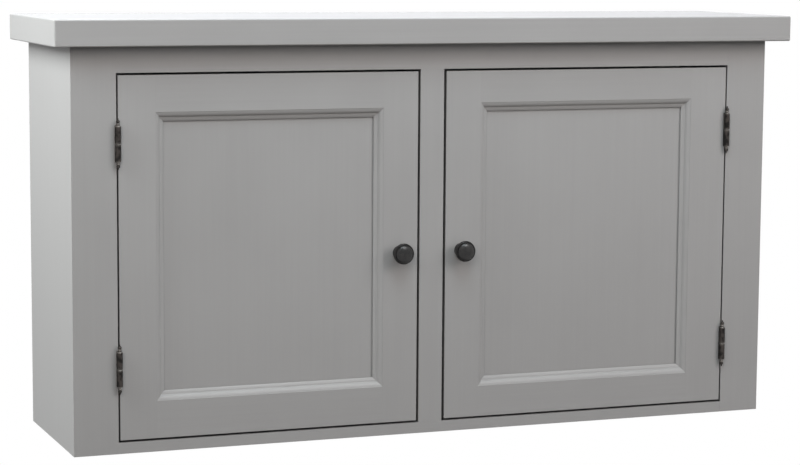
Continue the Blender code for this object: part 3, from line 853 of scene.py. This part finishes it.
@dataclass(frozen=True)
class Carcass:
    """The box, its back and hanging rails, the thick top slab and the shelf on its pegs."""

    ease: float = 0.0008
    slab_ease: float = 0.0020
    slab_segments: int = 5
    shelf_ease: float = 0.0012
    peg_radius: float = 0.0025
    peg_collar_radius: float = 0.0042
    peg_collar: float = 0.0015
    peg_round: float = 0.0006
    peg_facets: int = 28

    def build(self, bench: Bench) -> None:
        """Dress every piece of the carcass.

        Args:
            bench: where the pieces are made.
        """
        side_low, side_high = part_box("right_side_panel")
        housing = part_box("bottom_board")[1].x + CAD_FIT
        front = (Y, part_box("right_frame_stile")[1].y)
        top = (Z, side_high.z)
        for hand in Hand:
            bench.board(f"{hand.word}_side_panel", UPRIGHT_PAINT, self.ease, [front, top])
        ends = [(X, -housing), (X, housing)]
        bench.board("bottom_board", LEVEL_PAINT, self.ease, [front, *ends])
        bench.board("top_board", LEVEL_PAINT, self.ease, [front, top, *ends])
        rear = (Y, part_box("back_panel")[1].y)
        bench.board("back_panel", UPRIGHT_PAINT, self.ease, marked=[rear], marked_finish=UPRIGHT_PINE)
        between = [(X, -side_low.x), (X, side_low.x)]
        for rail in ("upper_hanging_rail", "lower_hanging_rail"):
            bench.board(rail, LEVEL_PINE, self.ease, between)
        self.slab(bench, side_high.z)
        bench.board("shelf", LEVEL_PAINT, self.shelf_ease)
        for hand in Hand:
            for row in ("front", "rear"):
                self.peg(bench, f"shelf_peg_{hand.word}_{row}", hand)

    def slab(self, bench: Bench, seat: float) -> None:
        """The top slab, down on the carcass, with softly rounded edges.

        Args:
            bench: where the pieces are made.
            seat: the height of the carcass's top.
        """
        low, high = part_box("top_slab")
        low.z = seat
        bm = block(low, high)
        mark_arrises(bm, (low, high), [])
        piece = bench.piece("top_slab", "painted", bm, LEVEL_PAINT)
        bench.ease(piece, self.slab_ease, self.slab_segments)

    def peg(self, bench: Bench, node: str, hand: Hand) -> None:
        """A turned peg with a collar and rounded ends.

        Args:
            bench: where the pieces are made.
            node: the CAD node of the peg.
            hand: the side panel that it stands in.
        """
        low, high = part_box(node)
        length = high.x - low.x
        inward = -hand.value * RIGHTWARD
        middle = (low + high) / 2
        collar_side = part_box(f"{hand.word}_side_panel")[0 if hand is Hand.RIGHT else 1].x
        root = Vector((high.x if hand is Hand.RIGHT else low.x, middle.y, middle.z))
        collar = abs(root.x - collar_side) + CAD_FIT
        radius, soft = self.peg_radius, self.peg_round
        flange, end = self.peg_collar_radius, collar + self.peg_collar
        profile = [(0, 0), (radius - soft, 0), (radius, soft), (radius, collar)]
        profile += quarter((flange - soft, collar), (flange, collar + soft), steps=3)
        profile += [(flange, end), (radius, end)]
        profile += quarter((0, length), (radius, length - soft), steps=5)[::-1]
        peg = turned(profile, self.peg_facets, facing(root, inward))
        bench.piece(node, "turned", peg, STEEL)


# Face frame


@dataclass(frozen=True)
class FaceFrame:
    """Two stiles, two rails and the mullion, flush and tight at their joints."""

    ease: float = 0.0005

    def build(self, bench: Bench) -> None:
        """Dress the five bars.

        Args:
            bench: where the pieces are made.
        """
        stile_low, stile_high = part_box("right_frame_stile")
        opening = stile_low.x
        shared = [(Y, stile_high.y), (Z, stile_high.z)]
        shoulders = [(X, -opening), (X, opening)]
        # The faces that border the door openings take the darker paint: painted shade for the gaps
        # round the doors
        for hand in Hand:
            inner = (X, hand.value * opening)
            stile = f"{hand.word}_frame_stile"
            bench.board(stile, UPRIGHT_PAINT, self.ease, [inner, *shared], [inner])
        sill, head = (Z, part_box("frame_bottom_rail")[1].z), (Z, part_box("frame_top_rail")[0].z)
        bench.board("frame_top_rail", LEVEL_PAINT, self.ease, [*shoulders, *shared, head], [head])
        bench.board("frame_bottom_rail", LEVEL_PAINT, self.ease, [*shoulders, shared[0], sill], [sill])
        sides = [(X, corner.x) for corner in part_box("frame_mullion")]
        bench.board("frame_mullion", UPRIGHT_PAINT, self.ease, [sill, head], sides)


# Doors


@dataclass(frozen=True)
class PanelMoulding:
    """The moulding round a panel: two sloping bands, a quirk between them and a rebated back."""

    width: float = 0.0118
    setback: float = 0.0005
    band_width: float = 0.0048
    band_fall: float = 0.0020
    crown: float = 0.0003
    quirk_depth: float = 0.0029
    quirk_run: float = 0.0019
    lip: float = 0.0006
    rebate_height: float = 0.0015
    rebate_depth: float = 0.0045
    panel_gap: float = 0.0001
    steps: int = 9

    def section(self, panel_depth: float) -> list[Point]:
        """The moulding's outline.

        Args:
            panel_depth: how far the panel lies behind the face of the door.

        Returns:
            Points of distance in from the stile, and depth behind the face.
        """
        back = panel_depth - self.panel_gap
        rebate = (self.width - self.rebate_depth, panel_depth - self.rebate_height)
        band_end = (self.band_width, self.setback + self.band_fall)
        quirk = (band_end[0] + self.quirk_run, band_end[1] + self.quirk_depth)
        lip = (self.width, rebate[1] - self.lip)
        front = self.band((0, self.setback), band_end) + self.band(quirk, lip)
        return [(0, back), *front, (self.width, rebate[1]), rebate, (rebate[0], back)]

    def band(self, start: Point, end: Point) -> list[Point]:
        """A nearly flat slope between two points, bowed out a little in its middle.

        Args:
            start: where it starts.
            end: where it ends.

        Returns:
            Its points, both ends among them.
        """
        shares = [i / self.steps for i in range(self.steps + 1)]
        (x, y), run, fall, rise = start, end[0] - start[0], end[1] - start[1], 4 * self.crown
        return [(x + run * s, y + fall * s - rise * s * (1 - s)) for s in shares]

    def strip(self, corner: Vector, along: Vector, inward: Vector, length: float,
              panel_depth: float) -> Solid:
        """One length of moulding, mitred at both ends.

        Args:
            corner: the corner of the opening where it starts, on the face of the door.
            along: its direction.
            inward: the direction towards the panel.
            length: the length of its side of the opening.
            panel_depth: how far the panel lies behind the face.

        Returns:
            The closed mesh.
        """
        bm = bmesh.new()
        starts, ends = [], []
        for across, deep in self.section(panel_depth):
            line = corner + inward * across + INWARD * deep
            starts.append(bm.verts.new(line + along * across))
            ends.append(bm.verts.new(line + along * (length - across)))
        for i in range(len(starts)):
            bm.faces.new((starts[i - 1], starts[i], ends[i], ends[i - 1]))
        bm.faces.new(starts)
        bm.faces.new(ends)
        return bm


@dataclass(frozen=True)
class Knob:
    """A turned mushroom knob: a foot, a waist, a rounded rim, a ring and a dome."""

    foot_radius: float = 0.0098
    foot_height: float = 0.0026
    foot_round: float = 0.0007
    waist_radius: float = 0.0062
    waist_height: float = 0.0105
    rim_radius: float = 0.0143
    rim_height: float = 0.0155
    ring_radius: float = 0.0131
    ring_height: float = 0.0188
    ring_step: float = 0.0005
    dome_radius: float = 0.0122
    dome_height: float = 0.0054
    bore_radius: float = 0.0023
    bore_depth: float = 0.0103
    facets: int = 72

    def profile(self) -> list[Point]:
        """The knob's profile, from its bore round to the top of its dome.

        Returns:
            Points of radius and height.
        """
        soft = self.foot_round
        foot_top = (self.foot_radius - soft, self.foot_height)
        waist = (self.waist_radius, self.waist_height)
        rim = (self.rim_radius, self.rim_height)
        valley = (self.dome_radius, self.ring_height - self.ring_step)
        profile = [(0, self.bore_depth), (self.bore_radius, self.bore_depth), (self.bore_radius, 0)]
        profile += [(self.foot_radius, 0)]
        profile += quarter(foot_top, (self.foot_radius, self.foot_height - soft), steps=4)[::-1]
        profile += quarter(foot_top, waist)[1:]
        profile += quarter(waist, rim)[1:]
        profile += quarter((self.ring_radius, self.ring_height), rim, steps=10)[-2::-1]
        profile += quarter(valley, (self.ring_radius, self.ring_height), steps=4)[-2::-1]
        return profile + quarter((0, valley[1] + self.dome_height), valley, steps=12)[-2::-1]


@dataclass(frozen=True)
class Bolt:
    """A pan-headed bolt with a crossed recess, which holds a knob from inside the door."""

    shank_radius: float = 0.002
    head_radius: float = 0.0044
    head_height: float = 0.0026
    crown_share: float = 0.6
    recess_width: float = 0.0009
    recess_reach: float = 0.0021
    recess_depth: float = 0.0014
    facets: int = 36

    def mesh(self, head: Vector, length: float) -> Solid:
        """The bolt, from the middle of its head, driven towards the front of the door.

        Args:
            head: the middle of the head's top.
            length: the whole length, head and shank.

        Returns:
            The closed mesh.
        """
        crown = quarter((0, 0), (self.head_radius, self.head_height * self.crown_share))
        profile = crown + [(self.head_radius, self.head_height), (self.shank_radius, self.head_height)]
        profile += [(self.shank_radius, length), (0, length)]
        bolt = turned(profile, self.facets, facing(head, OUTWARD))
        for long_axis in (X, Z):
            reach = Vector((self.recess_width / 2, self.recess_depth, self.recess_width / 2))
            reach[long_axis] = self.recess_reach
            bolt = joined(bolt, block(head - reach, head + reach), "DIFFERENCE")
        return bolt


@dataclass(frozen=True)
class Screw:
    """A countersunk wood screw with a slotted head, let in flush."""

    head_radius: float
    sink: float = 0.0012
    rise: float = 0.00005
    slot_width: float = 0.0006
    slot_depth: float = 0.0006
    slot_overrun: float = 1.2
    core_share: float = 0.45
    rim_share: float = 0.96
    slack: float = 0.0001
    first_turn: float = 20.0
    turn_step: float = 55.0
    facets: int = 24

    def mesh(self, place: Vector, direction: Vector, turn: float) -> Solid:
        """One screw.

        Args:
            place: the middle of its head, on the surface.
            direction: the way that the head faces.
            turn: the angle of its slot, in degrees.

        Returns:
            The closed mesh.
        """
        placing = facing(place, direction) @ Matrix.Rotation(math.radians(turn), 4, "Z")
        edge = self.head_radius
        profile = [(0, -self.sink), (edge * self.core_share, -self.sink), (edge, 0)]
        profile += [(edge * self.rim_share, self.rise), (0, self.rise)]
        reach = Vector((edge * self.slot_overrun, self.slot_width / 2, self.slot_depth))
        slot = block(-reach, reach)
        slot.transform(placing)
        return joined(turned(profile, self.facets, placing), slot, "DIFFERENCE")

    def row(self, places: Sequence[Vector], direction: Vector) -> Solid:
        """A row of screws, the slot of each turned further than the last one's."""
        turns = [self.first_turn + self.turn_step * i for i in range(len(places))]
        return gathered(self.mesh(place, direction, turn) for place, turn in zip(places, turns))

    def hole(self, place: Vector, direction: Vector) -> Solid:
        """The countersunk hole that the screw sits in, a hair wider than its head.

        Args:
            place: the middle of the screw's head.
            direction: the way that the head faces.

        Returns:
            The closed mesh.
        """
        edge, floor = self.head_radius + self.slack, -self.sink - self.slack
        profile = [(0, floor), (edge * self.core_share, floor), (edge, 0)]
        profile += [(edge, self.sink), (0, self.sink)]
        return turned(profile, self.facets, facing(place, direction))


@dataclass(frozen=True)
class Door:
    """A framed door: stiles, rails, loose panel, moulding, knob with its bolt, and strike plate."""

    hand: Hand
    ease: float = 0.0005
    strike_ease: float = 0.0003
    strike_screw_inset: float = 0.007
    moulding: PanelMoulding = PanelMoulding()
    knob: Knob = Knob()
    bolt: Bolt = Bolt()
    screw: Screw = Screw(0.0026, first_turn=35.0, turn_step=70.0)

    def build(self, bench: Bench) -> None:
        """Dress every piece of the door.

        Args:
            bench: where the pieces are made.
        """
        name = f"{self.hand.word}_door"
        hinge_box, lock_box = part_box(f"{name}_hinge_stile"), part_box(f"{name}_lock_stile")
        stiles = sorted((hinge_box, lock_box), key=lambda corners: corners[0].x)
        opening_x = (stiles[0][1].x, stiles[1][0].x)
        opening_z = (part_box(f"{name}_bottom_rail")[1].z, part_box(f"{name}_top_rail")[0].z)
        shoulders = [(X, opening_x[0]), (X, opening_x[1])]
        # The door's outer edge faces take the darker paint: painted shade for the gaps round the door
        edges = [(X, stiles[0][0].x), (X, stiles[1][1].x), (Z, hinge_box[0].z), (Z, hinge_box[1].z)]
        for stile in ("hinge_stile", "lock_stile"):
            bench.board(f"{name}_{stile}", UPRIGHT_PAINT, self.ease, shoulders, edges)
        for rail in ("top_rail", "bottom_rail"):
            bench.board(f"{name}_{rail}", LEVEL_PAINT, self.ease, shoulders, edges)
        bench.board(f"{name}_panel", UPRIGHT_PAINT, self.ease)
        self.mouldings(bench, name, opening_x, opening_z)
        self.hardware(bench)

    def mouldings(self, bench: Bench, name: str, opening_x: Point, opening_z: Point) -> None:
        """Run the moulding round the panel's opening.

        Args:
            bench: where the pieces are made.
            name: the door's name.
            opening_x: the opening's two upright edges.
            opening_z: its lower and upper edge.
        """
        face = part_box(f"{name}_lock_stile")[0].y
        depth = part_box(f"{name}_panel")[0].y - face
        west, east = ("hinge", "lock") if self.hand is Hand.LEFT else ("lock", "hinge")
        (left, right), (low, high) = opening_x, opening_z
        width, height = right - left, high - low
        sides = {
            "bottom": ((left, low), RIGHTWARD, UPWARD, width, LEVEL_PAINT),
            "top": ((left, high), RIGHTWARD, -UPWARD, width, LEVEL_PAINT),
            f"{west}_side": ((left, low), UPWARD, RIGHTWARD, height, UPRIGHT_PAINT),
            f"{east}_side": ((right, low), UPWARD, -RIGHTWARD, height, UPRIGHT_PAINT),
        }
        for side, ((x, z), along, inward, length, paint) in sides.items():
            strip = self.moulding.strip(Vector((x, face, z)), along, inward, length, depth)
            bench.piece(f"{name}_{side}_moulding", "painted", strip, paint)

    def hardware(self, bench: Bench) -> None:
        """The knob, its bolt, and the catch's strike plate with two screws.

        Args:
            bench: where the pieces are made.
        """
        word = self.hand.word
        low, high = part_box(f"{word}_knob")
        middle = (low + high) / 2
        foot = Vector((middle.x, high.y, middle.z))
        knob = turned(self.knob.profile(), self.knob.facets, facing(foot, OUTWARD))
        bench.piece(f"{word}_knob", "turned", knob, BRONZE)

        low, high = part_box(f"{word}_knob_bolt")
        bolt = self.bolt.mesh(Vector((middle.x, high.y, middle.z)), high.y - low.y)
        bench.piece(f"{word}_knob_bolt", "turned", bolt, STEEL)

        plate = f"{word}_strike_plate"
        bench.eased_copy(plate, STEEL, self.strike_ease)
        low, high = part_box(plate)
        middle = (low + high) / 2
        levels = (low.z + self.strike_screw_inset, high.z - self.strike_screw_inset)
        spots = [Vector((middle.x, high.y, z)) for z in levels]
        bench.piece(plate, "screws", self.screw.row(spots, INWARD), STEEL, stands_for=False)


# Hinges


@dataclass(frozen=True)
class FinialHinge:
    """A lift-off butt hinge: two knuckles with finials on one pin, a leaf let into each stile."""

    hand: Hand
    level: Level
    height: float = 0.047
    radius: float = 0.0039
    joint_gap: float = 0.0003
    rubbed_ease: float = 0.0007
    crown_ease: float = 0.0012
    bore_radius: float = 0.0021
    cap: float = 0.006
    neck_radius: float = 0.0017
    neck_height: float = 0.0012
    bead_radius: float = 0.0027
    bead_height: float = 0.0022
    ball_radius: float = 0.0025
    tip_radius: float = 0.0008
    tip_height: float = 0.0022
    leaf_gap: float = 0.0011
    leaf_thickness: float = 0.002
    leaf_depth: float = 0.016
    leaf_corner: float = 0.0015
    wall_parts: int = 3
    clearance: float = 0.0004
    pin_chamfer_parts: int = 4
    screw_pitch: float = 0.0155
    screw_setback: float = 0.0095
    facets: int = 48
    stations: int = 10
    screw: Screw = Screw(0.0029)

    def build(self, bench: Bench) -> None:
        """Dress both leaves, their screws and the pin.

        Args:
            bench: where the pieces are made.
        """
        name = f"{self.hand.word}_{self.level.value}_hinge"
        low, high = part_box(f"{name}_pin")
        joint = (low + high) / 2
        self.leaf(bench, f"{name}_frame_leaf", joint, -UPWARD, self.hand.value)
        self.leaf(bench, f"{name}_door_leaf", joint, UPWARD, -self.hand.value)
        self.pin(bench, f"{name}_pin", low, high)

    def knuckle(self) -> list[Step]:
        """One knuckle with its bore and finial, from the joint outwards.

        Returns:
            The steps of its profile.
        """
        end, joint, bore = self.height / 2, self.joint_gap / 2, self.height / 2 - self.cap
        rub, crown = self.rubbed_ease, self.crown_ease
        bead_start = end + self.neck_height
        bead = arc((self.neck_radius, bead_start + self.bead_height / 2),
                   (self.bead_radius - self.neck_radius, self.bead_height / 2), -90, 90)
        low = -math.degrees(math.acos(self.neck_radius / self.ball_radius))
        high = math.degrees(math.acos(self.tip_radius / self.ball_radius))
        ball_middle = bead[-1][1] - self.ball_radius * math.sin(math.radians(low))
        ball = arc((0, ball_middle), (self.ball_radius, self.ball_radius), low, high, steps=10)
        tip = ball[-1][1] + self.tip_height
        steps = [Step(0, bore), Step(self.bore_radius, bore), Step(self.bore_radius, joint)]
        steps += [Step(self.radius - rub, joint, True), Step(self.radius, joint + rub, True)]
        start, finish = joint + rub, end - crown
        stations = range(1, self.stations + 1)
        steps += [Step(self.radius, start + (finish - start) * i / self.stations) for i in stations]
        shoulder = quarter((self.radius - crown, end), (self.radius, end - crown), steps=4)
        steps += [Step(r, h, True) for r, h in shoulder[-2::-1]]
        steps += [Step(self.neck_radius, end)]
        steps += [Step(r, h, True) for r, h in bead]
        steps += [Step(r, h) for r, h in ball[1:]]
        return steps + [Step(self.tip_radius, tip), Step(0, tip)]

    def leaf(self, bench: Bench, node: str, joint: Vector, outwards: Vector, side: int) -> None:
        """One leaf with its knuckle and three screws.

        Args:
            bench: where the pieces are made.
            node: the CAD node of the leaf.
            joint: the middle of the pin.
            outwards: the way from the joint to this leaf's finial.
            side: -1 if the leaf lies to the left of the pin, or 1.
        """
        sign = outwards.z
        face = joint.y + self.radius + self.clearance
        wall = self.bore_radius + (self.radius - self.bore_radius) / self.wall_parts
        wrap = joint.y + math.sqrt(wall ** 2 - self.leaf_gap ** 2)
        rear, reach, soft = face + self.leaf_depth, self.height / 2 - CAD_FIT, self.leaf_corner
        outline = [(wrap, CAD_FIT), (wrap, reach)]
        outline += quarter((rear - soft, reach), (rear, reach - soft), steps=5)
        outline += quarter((rear - soft, -reach), (rear, soft - reach), steps=5)[::-1]
        outline += [(face + CAD_FIT, -reach), (face + CAD_FIT, CAD_FIT)]
        inner = joint.x + side * self.leaf_gap
        points = [Vector((inner, y, joint.z + sign * z)) for y, z in outline]
        plate = drawn_out(points, side * self.leaf_thickness * RIGHTWARD)
        levels = (joint.z - self.screw_pitch, joint.z, joint.z + self.screw_pitch)
        spots = [Vector((inner, face + self.screw_setback, z)) for z in levels]
        towards_gap = -side * RIGHTWARD
        holes = gathered(self.screw.hole(spot, towards_gap) for spot in spots)
        plate = joined(plate, holes, "DIFFERENCE")
        barrel = turned(self.knuckle(), self.facets, facing(joint, outwards))
        bench.piece(node, "forged", joined(plate, barrel, "UNION"), IRON, WORN_IRON)
        bench.piece(node, "screws", self.screw.row(spots, towards_gap), IRON, stands_for=False)

    def pin(self, bench: Bench, node: str, low: Vector, high: Vector) -> None:
        """The turned pin, with its ends chamfered.

        Args:
            bench: where the pieces are made.
            node: the CAD node of the pin.
            low: the lowest corner of its box.
            high: the highest corner.
        """
        radius, length = (high.x - low.x) / 2, high.z - low.z
        soft = radius / self.pin_chamfer_parts
        foot = Vector(((low.x + high.x) / 2, (low.y + high.y) / 2, low.z))
        profile = [(0, 0), (radius - soft, 0), (radius, soft)]
        profile += [(radius, length - soft), (radius - soft, length), (0, length)]
        pin = turned(profile, self.facets, facing(foot, UPWARD))
        bench.piece(node, "turned", pin, STEEL)


# Catches


@dataclass(frozen=True)
class Catch:
    """A magnetic catch: a plastic body with two steel poles that face the strike plate."""

    hand: Hand
    ease: float = 0.0007
    pole_width: float = 0.0016
    pole_spacing: float = 0.007
    pole_inset: float = 0.004
    pole_rise: float = 0.00015
    pole_depth: float = 0.004

    def build(self, bench: Bench) -> None:
        """Dress the body and set the poles in its face.

        Args:
            bench: where the pieces are made.
        """
        node = f"{self.hand.word}_catch"
        bench.eased_copy(node, PLASTIC, self.ease)
        low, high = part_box(node)
        strike_low, strike_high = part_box(f"{self.hand.word}_strike_plate")
        middle = (strike_low.x + strike_high.x) / 2
        front = strike_high.y + CAD_FIT - self.pole_rise
        poles = []
        for side in (-1, 1):
            x = middle + side * self.pole_spacing / 2
            corner = Vector((x - self.pole_width / 2, front, low.z + self.pole_inset))
            far = Vector((x + self.pole_width / 2, front + self.pole_depth, high.z - self.pole_inset))
            poles.append(block(corner, far))
        bench.piece(node, "poles", gathered(poles), STEEL, stands_for=False)


# Studio


@dataclass(frozen=True)
class SoftBox:
    """A square studio light behind white cloth."""

    name: str
    place: Place
    aim: Place
    size: float
    power: float
    colour: Colour = WHITE
    glow: Glow = Glow.FULL

    def build(self) -> None:
        """Hang the light and point it."""
        lamp = bpy.data.lights.new(self.name, "AREA")
        lamp.shape = "SQUARE"
        lamp.size = self.size
        lamp.energy = self.power
        lamp.color = self.colour
        stand = put(self.name, lamp)
        stand.location = self.place
        beam = Vector(self.aim) - Vector(self.place)
        stand.rotation_euler = beam.to_track_quat("-Z", "Y").to_euler()
        stand.visible_camera = False
        stand.visible_diffuse = self.glow is not Glow.GLOSS
        stand.visible_glossy = self.glow is not Glow.MATT


@dataclass(frozen=True)
class PhotoCamera:
    """The camera, where the photograph was taken from."""

    place: Place = (-1.1749, -3.2042, 0.1795)
    azimuth: float = 20.833
    elevation: float = -6.853
    roll: float = 0.371
    focal_pixels: float = 2364.9
    image_width: int = 800
    sensor_width: float = 36.0

    def build(self) -> None:
        """Set the camera up."""
        camera = bpy.data.cameras.new("photo_camera")
        camera.sensor_width = self.sensor_width
        camera.lens = self.focal_pixels / self.image_width * self.sensor_width
        turn = Matrix.Rotation(math.radians(-self.azimuth), 4, "Z")
        tilt = Matrix.Rotation(math.pi / 2 + math.radians(self.elevation), 4, "X")
        roll = Matrix.Rotation(math.radians(self.roll), 4, "Z")
        stand = put("photo_camera", camera)
        stand.matrix_world = Matrix.Translation(self.place) @ turn @ tilt @ roll
        bpy.context.scene.camera = stand


# Where the lights in front of the cabinet point
DOORS = (0.0, -0.25, -0.1)


@dataclass(frozen=True)
class Studio:
    """A pale floor far below the cabinet, a white surround, and soft light all round it."""

    floor_drop: float = 2.2
    floor_reach: float = 1.3
    floor_colour: Colour = (0.62, 0.60, 0.58)
    zenith: Colour = (0.16, 0.18, 0.20)
    horizon: Colour = (0.14, 0.14, 0.14)
    ground: Colour = (0.02, 0.018, 0.017)
    horizon_blend: float = 0.05
    lights: tuple[SoftBox, ...] = (
        SoftBox("front_softbox", (-0.1, -1.15, 1.35), DOORS, 0.8, 14.4, (0.82, 0.94, 1.0)),
        SoftBox("right_fill", (1.5, -2.0, 0.9), DOORS, 1.4, 31.7, (1.0, 0.95, 0.945), Glow.MATT),
        SoftBox("left_fill", (-1.5, -2.2, 0.9), DOORS, 1.4, 23.0, (1.0, 0.94, 0.91), Glow.MATT),
        SoftBox("left_softbox", (-1.3, -0.2, 0.62), (-0.5, -0.12, 0.0), 0.7, 21.4, (0.95, 0.99, 1.0),
                Glow.MATT),
        SoftBox("gloss_card", (1.33, -3.6, 3.25), (0.0, -0.28, -0.22), 1.2, 80.0, glow=Glow.GLOSS),
        SoftBox("overhead_softbox", (0.15, 0.3, 1.6), (0.1, -0.1, 0.0), 1.2, 33.0, (0.92, 0.92, 1.0)),
        SoftBox("rear_softbox", (1.9, 1.3, 0.7), (0.2, 0.0, -0.2), 1.4, 20.0, glow=Glow.MATT),
    )

    def build(self) -> None:
        """Set the stage."""
        bpy.context.scene.view_settings.view_transform = "Standard"
        self.floor()
        self.surround()
        for light in self.lights:
            light.build()
        PhotoCamera().build()

    def floor(self) -> None:
        """A plain floor, seen only from above."""
        middle = Matrix.Translation((0, 0, CAD_BOX[0].z - self.floor_drop))
        bm = bmesh.new()
        bmesh.ops.create_grid(bm, x_segments=1, y_segments=1, size=self.floor_reach, matrix=middle)
        mesh = mesh_of("studio_floor", bm)
        made = bpy.data.materials.new("studio_floor")
        made.use_nodes = True
        graph = ShaderGraph(made.node_tree)
        matt = graph.node("ShaderNodeBsdfDiffuse", sockets={"Color": self.floor_colour})
        clear = graph.node("ShaderNodeBsdfTransparent")
        below = graph.node("ShaderNodeNewGeometry", output="Backfacing")
        graph.surface(graph.node("ShaderNodeMixShader", sockets={0: below, 1: matt, 2: clear}))
        mesh.materials.append(made)
        floor = put("studio_floor", mesh)

    def surround(self) -> None:
        """Soft light from all round, which the camera and reflections see as plain white."""
        world = bpy.data.worlds.new("studio_surround")
        world.use_nodes = True
        bpy.context.scene.world = world
        graph = ShaderGraph(world.node_tree)
        direction = graph.node("ShaderNodeTexCoord", output="Generated")
        height = graph.node("ShaderNodeSeparateXYZ", sockets={0: direction}, output="Z")
        sky = graph.mix(self.horizon, self.zenith, height.highest(0.0))
        colour = graph.mix(self.ground, sky, height.between(-self.horizon_blend, self.horizon_blend))
        light = graph.node("ShaderNodeBackground", sockets={"Color": colour})
        white = graph.node("ShaderNodeBackground", sockets={"Color": WHITE, "Strength": 1.0})
        seen = graph.node("ShaderNodeLightPath", output="Is Camera Ray")
        for ray in ("Is Glossy Ray", "Is Transmission Ray"):
            seen = seen.highest(graph.node("ShaderNodeLightPath", output=ray))
        shown = graph.node("ShaderNodeMixShader", sockets={0: seen, 1: light, 2: white})
        graph.node("ShaderNodeOutputWorld", sockets={"Surface": shown})


def main() -> None:
    """Build the cabinet's sub-assemblies in order, then the studio round them."""
    logging.basicConfig(level=logging.INFO, format="%(message)s")
    bench = Bench()
    Carcass().build(bench)
    FaceFrame().build(bench)
    for hand in Hand:
        Door(hand).build(bench)
        for level in Level:
            FinialHinge(hand, level).build(bench)
        Catch(hand).build(bench)
    Studio().build()


if __name__ == "__main__":
    main()
